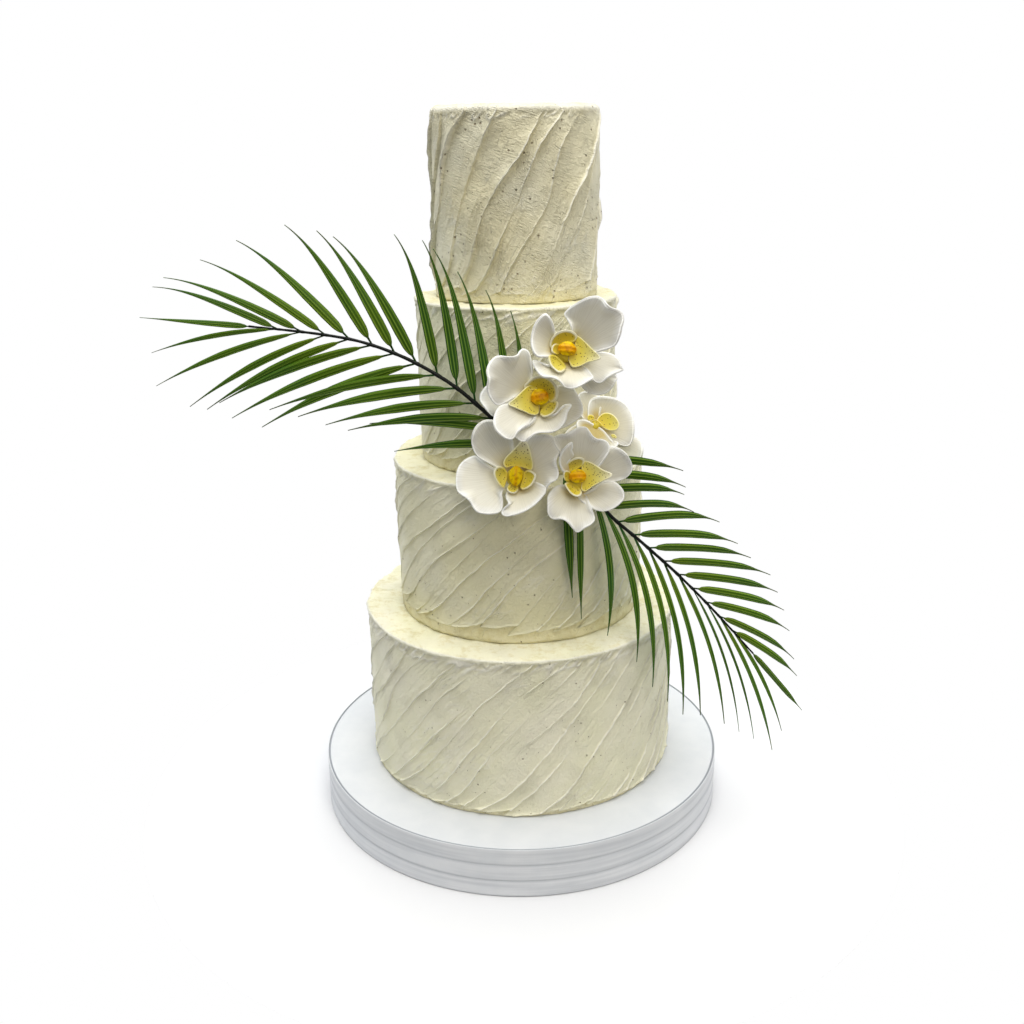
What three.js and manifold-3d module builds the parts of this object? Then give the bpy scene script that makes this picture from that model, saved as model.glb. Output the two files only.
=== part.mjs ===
// A four-tier buttercream wedding cake on its wrapped board, with two small palm
// fronds and a spray of five moth orchids. Millimetres, +Z up, front towards -Y.
// The origin is the middle of the board's underside, on the axis of the tiers.
import * as THREE from 'three';
import { mergeVertices } from 'three/addons/utils/BufferGeometryUtils.js';
import Module from 'manifold-3d';

const wasm = await Module();
wasm.setup();

// ---------------------------------------------------------------- driving dimensions
const GAP = 0.3; // clearance kept between neighbouring pieces

// The board is a stack of round cake drums wrapped as one.
const BOARD = { radius: 177.8, height: 43.3, layers: 3, topEdge: 2.2, footEdge: 1.2, groove: 0.6, sides: 38 };

// Tiers from the bottom up. "ridges" is the number of spatula strokes around a tier,
// "run" how far a stroke travels round the tier on its way up, "relief" its height,
// "skirt" the plain band under the strokes, "lip" the unevenness of the top rim.
const TIERS = [
  { radius: 133.1, top: 184.6, ridges: 38, run: 150, relief: 1.5, skirt: 9, lip: 1.2 },
  { radius: 103.9, top: 315.7, ridges: 31, run: 160, relief: 1.5, skirt: 15, lip: 1.2 },
  { radius: 80.7, top: 447.9, ridges: 25, run: 130, relief: 1.4, skirt: 11, lip: 1.0 },
  { radius: 64.4, top: 590.7, ridges: 18, run: 76, relief: 2.1, skirt: 12, lip: 1.0 },
];
// A stroke's hollow lies "phase" of the way to the next crest and is "depth" as deep as the
// crest is high. Strokes differ by "uneven" in height and "wander" in place, and hook over
// by "hook" of their run.
const STROKE = { phase: 0.24, depth: 0.6, hook: 0.05, uneven: 0.3, wander: 0.12, atRim: 0.7 };
// The rim is rounded off by "round". The flat ledge begins "seat" outside the tier above, or
// at the "flat" share of the radius on the top tier, and a foot is drawn in by "foot".
const RIM = { round: 3.2, seat: 5, flat: 0.55, foot: 1 };

// Fronds: the stalk runs through "route"; leaflets stand in pairs every "pitch" along it
// from "first". Length, angle and fold towards the front are read off between the knots
// [distance along the stalk, value]. A leaflet arches above its chord by "sag" of its
// length, and "bow" millimetres towards the front.
const LEAFLET = { halfWidth: 4.3, thickness: 1.1, stations: [0.1, 0.38, 0.78], widths: [0.72, 1, 0.52] };
const STALK = { baseRadius: 1.7, tipRadius: 0.9, sides: 5, step: 16, overlap: 4 };
const FRONDS = [
  {
    name: 'frond_left',
    route: [[17, -62, 328], [12.5, -74, 334.5], [8, -85, 341], [-4, -88, 352], [-20, -90.5, 366.5],
      [-48.5, -90, 391.5], [-82, -88, 411.5], [-115, -85.5, 424], [-146, -83.5, 430], [-200, -79.5, 436]],
    pairs: 13,
    first: 30,
    pitch: 17.7,
    tipLeaf: 88,
    above: {
      length: [[30, 110], [80, 117], [140, 103], [220, 105], [245, 93]],
      angle: [[30, 43], [75, 37], [120, 45], [170, 41], [205, 27], [245, 11]],
      fold: [[30, 2], [100, 6]],
      bow: [[30, 0]],
      sag: 0.01,
    },
    below: {
      length: [[30, 92], [66, 109], [140, 124], [190, 117], [228, 112], [245, 94]],
      angle: [[30, 26], [66, 47], [90, 48], [160, 43], [200, 34], [245, 16]],
      fold: [[30, 0], [110, 7]],
      bow: [[30, 0]],
      sag: 0.06,
    },
  },
  {
    name: 'frond_right',
    route: [[20, -64, 344], [26.5, -74.5, 339], [33, -85, 334], [43, -91.5, 326], [54, -95, 311.5],
      [68, -96, 291.5], [97, -96.5, 265], [126.5, -98, 237.5], [155.5, -99.5, 207], [186.5, -101, 172]],
    pairs: 13,
    first: 30,
    pitch: 16.3,
    tipLeaf: 71,
    above: {
      length: [[30, 87], [46, 84], [62, 70], [97, 72], [150, 69], [226, 59]],
      angle: [[30, 38], [46, 42], [62, 51], [97, 50], [133, 41], [190, 39], [226, 17]],
      fold: [[30, 4], [100, 8]],
      bow: [[30, 0]],
      sag: 0.06,
    },
    below: {
      length: [[30, 104], [62, 119], [79, 124], [111, 133], [160, 123], [210, 117], [226, 91]],
      angle: [[30, 43], [46, 40], [62, 29], [80, 28], [97, 38], [111, 39], [160, 32], [195, 25], [226, 14]],
      fold: [[30, 13]],
      bow: [[30, 11], [62, 5], [100, 0]],
      sag: 0.07,
    },
  },
];

// Orchids: "at" is the middle of the flower, which looks to the front and up by FACE_TILT.
// A petal is [bearing in the flower's plane, length, half width, lift, curl, cup, setback].
// "lip" is the bearing of the lip's long lobe and "root" where the stem ends in the cake,
// by way of "via" where it has to pass a leaflet.
const FACE_TILT = 18.8;
const ORCHIDS = [
  {
    at: [34, -118, 420],
    lip: -14,
    root: [24, -62, 398],
    petals: [[40, 39, 19, 10, 5, 0.15, 0], [151, 31, 12.5, 42, -20, 0.4, 0], [262, 31, 22, 35, -50, 0.1, 0],
      [-22, 42, 13, 16, -25, 0.2, 0], [-50, 36, 14, -5, -10, 0.1, -4]],
  },
  {
    at: [14.3, -112, 385],
    lip: 196,
    root: [11, -66, 372],
    petals: [[143, 38.5, 18, 8, 5, 0.15, 0], [178, 41, 12.5, -5, -5, 0.1, -4],
      [219, 35, 12.5, 12, -20, 0.15, 0], [295, 31, 22, 42, -55, 0.1, 0], [-3, 32, 17, 0, 0, 0.1, -3]],
  },
  {
    at: [-2.4, -107.5, 324.3],
    lip: 76,
    root: [-6, -66, 338],
    petals: [[188, 40.5, 20, 8, -12, 0.15, 0], [127, 40.5, 16, 5, 0, 0.1, -2], [80, 32, 16, -5, 0, 0.1, -4],
      [27, 33, 21, 26, -10, 0.1, 0], [289, 31, 17, 42, -40, 0.2, 0]],
  },
  {
    at: [42.8, -107, 320],
    lip: 0,
    via: [36, -101, 310],
    root: [30, -82, 300],
    petals: [[86, 33.5, 18, 15, -10, 0.15, 0], [13, 38, 13.5, 8, 0, 0.15, 0],
      [-33, 36, 11.5, 10, -10, 0.15, 0], [260, 38, 17.5, 5, -10, 0.15, 0], [107, 27, 8, 36, 0, 0.3, 0]],
  },
  {
    at: [59, -78, 355.5],
    lip: 12,
    root: [45, -48, 350],
    petals: [[12, 29, 20.5, 3, 0, 0.1, 0], [-33, 42, 13, -3, -5, 0.1, -3], [120, 26, 13, 5, 0, 0.1, 0],
      [200, 24, 12, 0, 0, 0.1, 0], [262, 24, 14, 0, 0, 0.1, 0]],
  },
];
// A petal is broadest past its middle by "wide", and never narrower than "neck" of that.
const PETAL = {
  thickness: 2.4,
  startRadius: 2,
  stations: [0.08, 0.42, 0.86],
  wide: 1.2,
  neck: 0.14,
  steps: 12,
};
const HEART = { face: 6, neck: 4, back: 5.8, front: 0.7, sides: 5 };
// The lip: a long three-cornered lobe, two side lobes and one behind, as [reach, half length,
// half width], on a small core that stands in the heart of the flower.
const LIP = {
  rise: 8,
  long: 25,
  halfWidth: 12,
  thickness: 2,
  lift: 16,
  sideLobe: [9, 5, 6],
  backLobe: [7, 4, 5],
  sideBearing: 108,
  lean: 35,
  cup: 0.15,
  core: { top: 7.6, foot: 2.6, clear: 2.2 },
};
const CALLUS = { long: 6.5, half: 4.5, height: 3, above: 1.2 };
const STEM = { radius: 1.5, sides: 5, spans: 3, pocket: 1, clearance: 0.8 };

const COLOURS = {
  icing: { color: '#e9e4cc', roughness: 0.6, metalness: 0 },
  board: { color: '#e3e6ea', roughness: 0.4, metalness: 0.1 },
  leaf: { color: '#3f6f22', roughness: 0.45, metalness: 0 },
  petal: { color: '#f3f1ec', roughness: 0.5, metalness: 0 },
  lip: { color: '#e2d35a', roughness: 0.5, metalness: 0 },
  callus: { color: '#d98d1e', roughness: 0.5, metalness: 0 },
  stem: { color: '#c9cfa6', roughness: 0.7, metalness: 0 },
};

// ---------------------------------------------------------------- helpers
const TURN = 2 * Math.PI;
const rad = THREE.MathUtils.degToRad;
const vec = (list) => new THREE.Vector3(...list);

// A steady pseudo-random number from -1 to 1 for a piece's index.
const uneven = (index, salt = 0) => {
  const wave = Math.sin(index * 127.1 + salt * 311.7) * 43758.5453;
  return 2 * (wave - Math.floor(wave)) - 1;
};

// The value at x on straight lines through the knots, held level past both ends.
function between(knots, x) {
  const last = knots.length - 1;
  if (x <= knots[0][0]) return knots[0][1];
  if (x >= knots[last][0]) return knots[last][1];
  const next = knots.findIndex((knot) => knot[0] >= x);
  const [x0, y0] = knots[next - 1];
  const [x1, y1] = knots[next];
  return y0 + ((y1 - y0) * (x - x0)) / (x1 - x0);
}

// A closed body through rings of points that all run the same way round, with a pole
// at each end. The rings follow a right-handed screw from the start pole to the end pole.
function ringBody(rings, startPole, endPole) {
  const size = rings[0].length;
  const points = [startPole, ...rings.flat(), endPole];
  const index = [];
  const at = (ring, step) => 1 + ring * size + (step % size);
  for (let step = 0; step < size; step += 1) {
    index.push(0, at(0, step + 1), at(0, step));
    for (let ring = 0; ring + 1 < rings.length; ring += 1) {
      index.push(at(ring, step), at(ring, step + 1), at(ring + 1, step + 1));
      index.push(at(ring, step), at(ring + 1, step + 1), at(ring + 1, step));
    }
    index.push(at(rings.length - 1, step), at(rings.length - 1, step + 1), points.length - 1);
  }
  const geometry = new THREE.BufferGeometry().setFromPoints(points);
  geometry.setIndex(index);
  return geometry;
}

// Round rings across a curve, tapering from one radius to the other.
function tube(curve, startRadius, endRadius, sides, spans) {
  const { normals, binormals } = curve.computeFrenetFrames(spans);
  const rings = [];
  for (let span = 0; span <= spans; span += 1) {
    const radius = THREE.MathUtils.lerp(startRadius, endRadius, span / spans);
    const centre = curve.getPointAt(span / spans);
    rings.push(Array.from({ length: sides }, (_, side) => centre.clone()
      .addScaledVector(normals[span], radius * Math.cos((TURN * side) / sides))
      .addScaledVector(binormals[span], radius * Math.sin((TURN * side) / sides))));
  }
  return ringBody(rings, curve.getPointAt(0), curve.getPointAt(1));
}

function toSolid(geometry) {
  const bare = geometry.clone();
  bare.deleteAttribute('normal');
  bare.deleteAttribute('uv');
  const merged = mergeVertices(bare, 1e-5);
  return new wasm.Manifold(new wasm.Mesh({
    numProp: 3,
    vertProperties: new Float32Array(merged.attributes.position.array),
    triVerts: new Uint32Array(merged.index.array),
  }));
}

function fromSolid(solid) {
  const { vertProperties, triVerts } = solid.getMesh();
  const geometry = new THREE.BufferGeometry();
  geometry.setAttribute('position', new THREE.BufferAttribute(new Float32Array(vertProperties), 3));
  geometry.setIndex(new THREE.BufferAttribute(new Uint32Array(triVerts), 1));
  return geometry;
}

const unite = (geometries) => fromSolid(geometries.map(toSolid).reduce((whole, piece) => whole.add(piece)));

const cut = (geometry, cutters) => fromSolid(cutters.map(toSolid)
  .reduce((whole, cutter) => whole.subtract(cutter), toSolid(geometry)));

function named(name, geometry, finish) {
  const mesh = new THREE.Mesh(geometry, new THREE.MeshStandardMaterial(COLOURS[finish]));
  mesh.name = name;
  return mesh;
}

// ---------------------------------------------------------------- board
// One turned body with an eased foot and top edge, and a shallow groove under the wrap
// wherever two drums meet.
function boardGeometry() {
  const { radius, height, layers, topEdge, footEdge, groove, sides } = BOARD;
  const profile = [[0, 0], [radius - footEdge, 0], [radius, footEdge]];
  for (let layer = 1; layer < layers; layer += 1) {
    const level = (height * layer) / layers;
    profile.push([radius, level - groove], [radius - groove, level], [radius, level + groove]);
  }
  profile.push([radius, height - topEdge], [radius - topEdge, height], [0, height]);
  const lathe = new THREE.LatheGeometry(profile.map(([r, z]) => new THREE.Vector2(r, z)), sides);
  return lathe.rotateX(Math.PI / 2);
}

// ---------------------------------------------------------------- tiers
// A tier is a stack of rings. Its columns follow the strokes, so each stroke's crest and
// the hollow beside it stay sharp from the skirt to the rim.
function tierGeometry(tier, index) {
  const floor = index === 0 ? BOARD.height : TIERS[index - 1].top;
  const bottom = floor + GAP;
  const height = tier.top - bottom;
  const columns = tier.ridges * 2;
  const seat = index + 1 < TIERS.length ? TIERS[index + 1].radius + RIM.seat : tier.radius * RIM.flat;

  const crest = (column) => (column % 2 === 0 ? 1 : -STROKE.depth)
    * tier.relief * (1 + STROKE.uneven * uneven(Math.floor(column / 2), index));
  const bearing = (column, up) => {
    const stroke = Math.floor(column / 2) + (column % 2 === 0 ? 0 : STROKE.phase);
    const wander = STROKE.wander * uneven(Math.floor(column / 2), index + 7);
    const travel = up + STROKE.hook * Math.sin(TURN * up);
    return (TURN * (stroke + wander)) / tier.ridges + (tier.run / tier.radius) * travel;
  };
  const ring = (up, z, radius, share) => Array.from({ length: columns }, (_, column) => {
    const r = radius + share * crest(column);
    const angle = bearing(column, up);
    return new THREE.Vector3(r * Math.cos(angle), r * Math.sin(angle), z);
  });
  const lipRing = (radius, z, rough) => Array.from({ length: columns }, (_, column) => {
    const angle = bearing(column, 1);
    const r = radius + rough * uneven(column, index + 3);
    const level = z + (rough * (1 + uneven(column, index))) / 2;
    return new THREE.Vector3(r * Math.cos(angle), r * Math.sin(angle), level);
  });

  // A crest runs straight from ring to ring, so it dips inside the true cylinder by its
  // sagitta; half of that is added to the rings.
  const skirtUp = tier.skirt / height;
  const middles = [(2 * skirtUp + 1) / 3, (skirtUp + 2) / 3];
  const turned = (tier.run / tier.radius) * (middles[1] - middles[0]);
  const full = tier.radius * (1.5 - 0.5 * Math.cos(turned / 2));
  const rings = [
    ring(0, bottom, tier.radius - RIM.foot, 0),
    ring(skirtUp, bottom + tier.skirt, full, 1),
    ...middles.map((up) => ring(up, bottom + up * height, full, 1)),
    ring(1, tier.top - RIM.round, tier.radius, STROKE.atRim),
    lipRing(tier.radius - 0.6 * RIM.round, tier.top, tier.lip),
    lipRing(seat, tier.top, 0),
  ];
  return ringBody(rings, new THREE.Vector3(0, 0, bottom), new THREE.Vector3(0, 0, tier.top));
}

// ---------------------------------------------------------------- fronds
// A leaflet is a lance-shaped blade with a raised midrib on both faces. It runs from
// the stalk to its tip along a chord, lifted in the middle by its own arch.
function leafletGeometry(base, chord, face, sag, bow) {
  const across = new THREE.Vector3().crossVectors(face, chord).normalize();
  const out = new THREE.Vector3().crossVectors(chord, across).normalize();
  const arch = across.clone().multiplyScalar(sag * Math.sign(across.z)).addScaledVector(face, bow);
  const spine = (along) => base.clone().addScaledVector(chord, along)
    .addScaledVector(arch, 4 * along * (1 - along));
  const rings = LEAFLET.stations.map((along, station) => {
    const half = LEAFLET.halfWidth * LEAFLET.widths[station];
    const thick = (LEAFLET.thickness / 2) * (0.5 + 0.5 * LEAFLET.widths[station]);
    return [[-half, 0], [0, -thick], [half, 0], [0, thick]].map(([side, rise]) => spine(along)
      .addScaledVector(across, side).addScaledVector(out, rise));
  });
  return ringBody(rings, spine(0), spine(1));
}

function frondGeometry(frond) {
  const curve = new THREE.CatmullRomCurve3(frond.route.map(vec), false, 'centripetal');
  const length = curve.getLength();
  const stalk = tube(curve, STALK.baseRadius, STALK.tipRadius, STALK.sides, Math.round(length / STALK.step));
  const front = new THREE.Vector3(0, -1, 0);
  const towards = Math.sign(vec(frond.route.at(-1)).x);

  // One leaflet: the chord leaves the stalk's direction by its angle, in a plane that
  // folds forward from the frond's own plane.
  const leaflet = (distance, side, leaf, salt) => {
    const base = curve.getPointAt(distance / length);
    const ahead = curve.getTangentAt(distance / length).setY(0).normalize();
    const outwards = new THREE.Vector3().crossVectors(front, ahead).normalize().multiplyScalar(side);
    const fold = rad(between(leaf.fold, distance));
    const spread = outwards.clone().multiplyScalar(Math.cos(fold)).addScaledVector(front, Math.sin(fold));
    const angle = rad(between(leaf.angle, distance) + 2 * uneven(salt, side));
    const long = between(leaf.length, distance) * (1 + 0.02 * uneven(salt, side + 5));
    const chord = ahead.clone().multiplyScalar(Math.cos(angle)).addScaledVector(spread, Math.sin(angle))
      .multiplyScalar(long);
    return leafletGeometry(base, chord, front, leaf.sag * long, between(leaf.bow, distance));
  };

  const pieces = [stalk];
  for (let pair = 0; pair < frond.pairs; pair += 1) {
    const distance = frond.first + pair * frond.pitch;
    pieces.push(leaflet(distance, towards, frond.above, pair));
    pieces.push(leaflet(distance, -towards, frond.below, pair));
  }
  const end = curve.getPointAt(1);
  const last = curve.getTangentAt(1);
  const tipBase = end.clone().addScaledVector(last, -STALK.overlap);
  pieces.push(leafletGeometry(tipBase, last.multiplyScalar(frond.tipLeaf), front, 0, 0));
  return unite(pieces);
}

// ---------------------------------------------------------------- orchids
// The flower's own frame: x to the right, y up the face, z out of it.
function facePose(orchid) {
  const tilt = rad(FACE_TILT);
  const out = new THREE.Vector3(0, -Math.cos(tilt), Math.sin(tilt));
  const right = new THREE.Vector3(1, 0, 0);
  const up = new THREE.Vector3().crossVectors(out, right);
  return new THREE.Matrix4().makeBasis(right, up, out).setPosition(...orchid.at);
}

// A flat body with a ring at each station. "loop" is the ring's section as [side, level],
// "spine" gives the middle line as [reach, rise] and "half" the half width there.
const LENS = [[-1, 0], [0, -0.5], [1, 0], [0, 0.5]];
const SLAB = [[-1, 0], [0, -0.5], [1, 0], [0.5, 0.5], [-0.5, 0.5]];
function bladeGeometry(loop, bearing, stations, spine, half, thickness, cup) {
  const along = new THREE.Vector3(Math.cos(bearing), Math.sin(bearing), 0);
  const across = new THREE.Vector3(-Math.sin(bearing), Math.cos(bearing), 0);
  const place = ([reach, rise], side, lift) => along.clone().multiplyScalar(reach)
    .addScaledVector(across, side).add(new THREE.Vector3(0, 0, rise + lift));
  const rings = stations.map((station) => loop.map(([side, level]) => {
    const lift = cup * half(station) * side * side + level * thickness;
    return place(spine(station), side * half(station), lift);
  }));
  return ringBody(rings, place(spine(0), 0, 0), place(spine(1), 0, 0));
}

// The petal's middle line is an arc that leaves the flower's plane at "lift" and turns by
// "curl"; its outline is a broad oval.
function petalGeometry([bearing, length, halfWidth, lift, curl, cup, setback]) {
  const spine = (station) => {
    let reach = PETAL.startRadius;
    let rise = setback;
    for (let step = 0; step < PETAL.steps; step += 1) {
      const slope = rad(lift + (curl * station * (step + 0.5)) / PETAL.steps);
      reach += (Math.cos(slope) * length * station) / PETAL.steps;
      rise += (Math.sin(slope) * length * station) / PETAL.steps;
    }
    return [reach, rise];
  };
  const half = (station) => halfWidth
    * Math.max(PETAL.neck, Math.sqrt(1 - Math.abs(2 * station ** PETAL.wide - 1) ** 2.4));
  return bladeGeometry(SLAB, rad(bearing), PETAL.stations, spine, half, PETAL.thickness, cup);
}

// A small oval lobe of the lip that leans outwards from the callus.
function lobeGeometry(bearing, [reach, long, halfWidth]) {
  const lean = rad(LIP.lean);
  const spine = (station) => [reach + (2 * station - 1) * long * Math.cos(lean),
    LIP.rise + station * 2 * long * Math.sin(lean)];
  const half = (station) => halfWidth * Math.sqrt(1 - (2 * station - 1) ** 2);
  return bladeGeometry(LENS, bearing, [0.25, 0.75], spine, half, LIP.thickness, LIP.cup);
}

function lipGeometry(orchid) {
  const bearing = rad(orchid.lip);
  const lift = rad(LIP.lift);
  const spine = (station) => [PETAL.startRadius + (LIP.long - PETAL.startRadius) * station * Math.cos(lift),
    LIP.rise + LIP.long * station * Math.sin(lift)];
  const half = (station) => LIP.halfWidth * between([[0, 0.6], [0.2, 1], [1, 0.05]], station);
  const long = bladeGeometry(LENS, bearing, [0.02, 0.2, 0.94], spine, half, LIP.thickness, LIP.cup);
  const sides = [-1, 1].map((side) => lobeGeometry(bearing + side * rad(LIP.sideBearing), LIP.sideLobe));
  const back = lobeGeometry(bearing + Math.PI, LIP.backLobe);
  const tall = LIP.rise - 1;
  const core = new THREE.CylinderGeometry(LIP.core.top, LIP.core.foot, tall, HEART.sides);
  core.rotateX(Math.PI / 2).translate(0, 0, tall / 2 + LIP.core.clear);
  return unite([core, long, ...sides, back]);
}

function orchidMeshes(orchid, number) {
  const name = `orchid_${number}`;
  const pose = facePose(orchid);
  const heart = new THREE.CylinderGeometry(HEART.face, HEART.neck, HEART.back + HEART.front, HEART.sides);
  heart.rotateX(Math.PI / 2).translate(0, 0, (HEART.front - HEART.back) / 2);
  const petals = unite([heart, ...orchid.petals.map(petalGeometry)]).applyMatrix4(pose);
  const lip = lipGeometry(orchid).applyMatrix4(pose);
  const callus = new THREE.SphereGeometry(1, 6, 4).scale(CALLUS.long, CALLUS.half, CALLUS.height);
  const level = LIP.rise + CALLUS.above + GAP + CALLUS.height;
  callus.rotateZ(rad(orchid.lip)).translate(0, 0, level).applyMatrix4(pose);
  const stem = tube(stemCurve(orchid), STEM.radius, STEM.radius, STEM.sides, STEM.spans);
  return [named(`${name}_petals`, petals, 'petal'), named(`${name}_lip`, lip, 'lip'),
    named(`${name}_callus`, callus, 'callus'), named(`${name}_stem`, stem, 'stem')];
}

// From the back of the flower, straight out for a little way and then into the cake.
function stemCurve(orchid) {
  const pose = facePose(orchid);
  const behind = (depth) => new THREE.Vector3(0, 0, -depth).applyMatrix4(pose);
  const start = behind(HEART.back + GAP + (orchid.via ? STEM.radius : 0));
  const via = orchid.via ? vec(orchid.via) : behind(2 * HEART.back);
  return new THREE.QuadraticBezierCurve3(start, via, vec(orchid.root));
}

// ---------------------------------------------------------------- assembly
// Pockets: the hole that each pushed-in stem leaves in the icing and sponge.
function pocketCutters() {
  const around = (curve, radius) => {
    const wide = radius + STEM.clearance;
    return tube(curve, wide, wide, STEM.sides, STEM.spans);
  };
  const deeper = (points) => {
    const inwards = points[0].clone().sub(points[1]).setLength(STEM.pocket);
    return new THREE.CatmullRomCurve3([points[0].clone().add(inwards), ...points], false, 'centripetal');
  };
  return {
    stems: ORCHIDS.map((orchid) => around(deeper(stemCurve(orchid).getPoints(4).reverse()), STEM.radius)),
    stalks: FRONDS.map((frond) => around(deeper(frond.route.slice(0, 3).map(vec)), STALK.baseRadius)),
  };
}

const cake = new THREE.Group();
const { stems, stalks } = pocketCutters();
const pockets = [[], [stems[3]], [stems[0], stems[1], stems[2], stems[4], ...stalks], []];
cake.add(named('board', boardGeometry(), 'board'));
TIERS.forEach((tier, index) => {
  const whole = tierGeometry(tier, index);
  cake.add(named(`tier_${index + 1}`, pockets[index].length ? cut(whole, pockets[index]) : whole, 'icing'));
});
FRONDS.forEach((frond) => cake.add(named(frond.name, frondGeometry(frond), 'leaf')));
ORCHIDS.forEach((orchid, index) => cake.add(...orchidMeshes(orchid, index + 1)));

export default cake;
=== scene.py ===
# %% [markdown]
# A tiered wedding cake, with Blender and numpy.
#
# The cake is four round tiers of ivory buttercream on a wrapped drum board, with two palm
# fronds and a spray of moth orchids at the front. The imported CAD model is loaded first. It is
# the fixed frame: every piece made here takes its place and its size from it. Shapes are
# worked out in millimetres as whole numpy arrays and go into their meshes in metres.

import bpy
import numpy as np
from mathutils import Matrix


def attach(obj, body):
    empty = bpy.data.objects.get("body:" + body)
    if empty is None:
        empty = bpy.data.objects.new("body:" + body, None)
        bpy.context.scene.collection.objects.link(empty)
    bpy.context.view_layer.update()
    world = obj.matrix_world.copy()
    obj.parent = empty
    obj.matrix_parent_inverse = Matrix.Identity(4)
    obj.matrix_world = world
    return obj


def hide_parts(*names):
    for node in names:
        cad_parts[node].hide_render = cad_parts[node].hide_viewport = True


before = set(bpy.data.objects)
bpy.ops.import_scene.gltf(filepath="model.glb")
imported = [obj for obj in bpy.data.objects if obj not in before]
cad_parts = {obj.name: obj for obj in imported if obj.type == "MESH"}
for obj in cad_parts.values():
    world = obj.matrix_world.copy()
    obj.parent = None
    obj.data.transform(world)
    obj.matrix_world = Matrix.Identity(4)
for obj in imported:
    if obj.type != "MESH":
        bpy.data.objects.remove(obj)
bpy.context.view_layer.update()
MM = 0.001
TURN = 2 * np.pi

# %% [markdown]
# The camera stands in front of the cake at about the height of the top tier and looks a
# little down, so the ledges of the lower tiers show as narrow bright ellipses. Its place is
# given in millimetres from the centre of the board's underside.

# %% Camera
CAMERA_AT = (-5.78, -887.5, 562.7)
CAMERA_DOWN = np.radians(18.819)
CAMERA_ROLL = np.radians(-0.741)
FOCAL_PIXELS, FRAME_PIXELS, SENSOR = 1082.6, 1024, 36.0


def place_at(thing, axes, at):
    """Turns a camera or a lamp so that its own x, y and z lie along three axes, and puts it at
    a place in mm. It looks along its own -z."""
    turned = np.eye(4)
    turned[:3, :3] = np.stack(axes, axis=1)
    turned[:3, 3] = np.array(at) * MM
    thing.matrix_world = Matrix(turned.tolist())


level = np.array([1.0, 0, 0])
tilted_up = np.array([0, np.sin(CAMERA_DOWN), np.cos(CAMERA_DOWN)])
right = np.cos(CAMERA_ROLL) * level + np.sin(CAMERA_ROLL) * tilted_up
up = np.cos(CAMERA_ROLL) * tilted_up - np.sin(CAMERA_ROLL) * level
camera = bpy.data.objects.new("camera", bpy.data.cameras.new("camera"))
camera.data.sensor_width = SENSOR
camera.data.lens = FOCAL_PIXELS * SENSOR / FRAME_PIXELS
camera.data.clip_start, camera.data.clip_end = 0.01, 100
place_at(camera, [right, up, np.cross(right, up)], CAMERA_AT)
scene = bpy.context.scene
scene.collection.objects.link(camera)
scene.camera = camera
print("lens, mm:", round(camera.data.lens, 2))

# %% [markdown]
# The light is that of a white studio: a big soft light overhead, a weak warm one beside the
# camera, and a white backdrop. A cake is lit this way so that the icing's low relief shows
# without hard shadows, and its sides grow lighter towards their outlines. So the world is
# bright overhead and behind and dim in front. Where the camera sees it directly it is plain
# white. The floor is a plain pale disc, about twice as wide as the board.

# %% Colours and nodes
def linear(colour):
    """An sRGB hex colour as linear RGBA: each channel goes back through the sRGB curve."""
    srgb = np.array([int(colour[i : i + 2], 16) for i in (1, 3, 5)]) / 255
    flat = np.where(srgb <= 0.04045, srgb / 12.92, ((srgb + 0.055) / 1.055) ** 2.4)
    return (*flat.tolist(), 1.0)


def add(tree, kind, inputs=None, stops=None, **settings):
    """Adds a shader node, sets its properties and its ramp's stops, and fills its inputs: a
    socket is linked, a hex colour turned to linear, anything else is set as it is."""
    node = tree.nodes.new("ShaderNode" + kind)
    for key, value in settings.items():
        setattr(node, key, value)
    for number, (place, colour) in enumerate(stops or []):
        ramp = node.color_ramp.elements
        stop = ramp[number] if number < 2 else ramp.new(place)
        stop.position, stop.color = place, linear(colour)
    for key, value in (inputs or {}).items():
        if isinstance(value, bpy.types.NodeSocket):
            tree.links.new(value, node.inputs[key])
        else:
            node.inputs[key].default_value = linear(value) if isinstance(value, str) else value
    return node


def new_material(name):
    """A material with an empty node tree and its output node."""
    material = bpy.data.materials.new(name)
    material.use_nodes = True
    material.node_tree.nodes.clear()
    return material, material.node_tree


print("white, linear:", linear("#ffffff"))

# %% World
SKY_ZENITH, SKY_FALL = 0.9, 2.0
SKY_FRONT, SKY_BACK, SKY_TURNS_AT = 0.16, 1.45, -0.4

world = bpy.data.worlds.new("studio")
scene.world = world
world.use_nodes = True
tree = world.node_tree
tree.nodes.clear()
direction = add(tree, "SeparateXYZ", {0: add(tree, "TexCoord").outputs["Generated"]})
lifted = add(tree, "Math", {0: direction.outputs["Z"], 1: 0.0}, operation="MAXIMUM").outputs[0]
fall = add(tree, "Math", {0: lifted, 1: SKY_FALL}, operation="POWER").outputs[0]
behind = add(tree, "MapRange", {"Value": direction.outputs["Y"], "From Min": SKY_TURNS_AT,
                                "To Min": SKY_FRONT, "To Max": SKY_BACK}).outputs[0]
glow = add(tree, "Math", {0: fall, 1: SKY_ZENITH, 2: behind}, operation="MULTIPLY_ADD").outputs[0]
dome = add(tree, "Background", {"Color": "#fbfdff", "Strength": glow})
plain = add(tree, "Background", {"Color": "#ffffff", "Strength": 1.0})
seen = add(tree, "LightPath").outputs["Is Camera Ray"]
mixed = add(tree, "MixShader", {0: seen, 1: dome.outputs[0], 2: plain.outputs[0]})
add(tree, "OutputWorld", {"Surface": mixed.outputs[0]})
scene.view_settings.view_transform = "Standard"
print("sky:", SKY_ZENITH, "overhead,", SKY_FRONT, "in front,", SKY_BACK, "behind")

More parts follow.
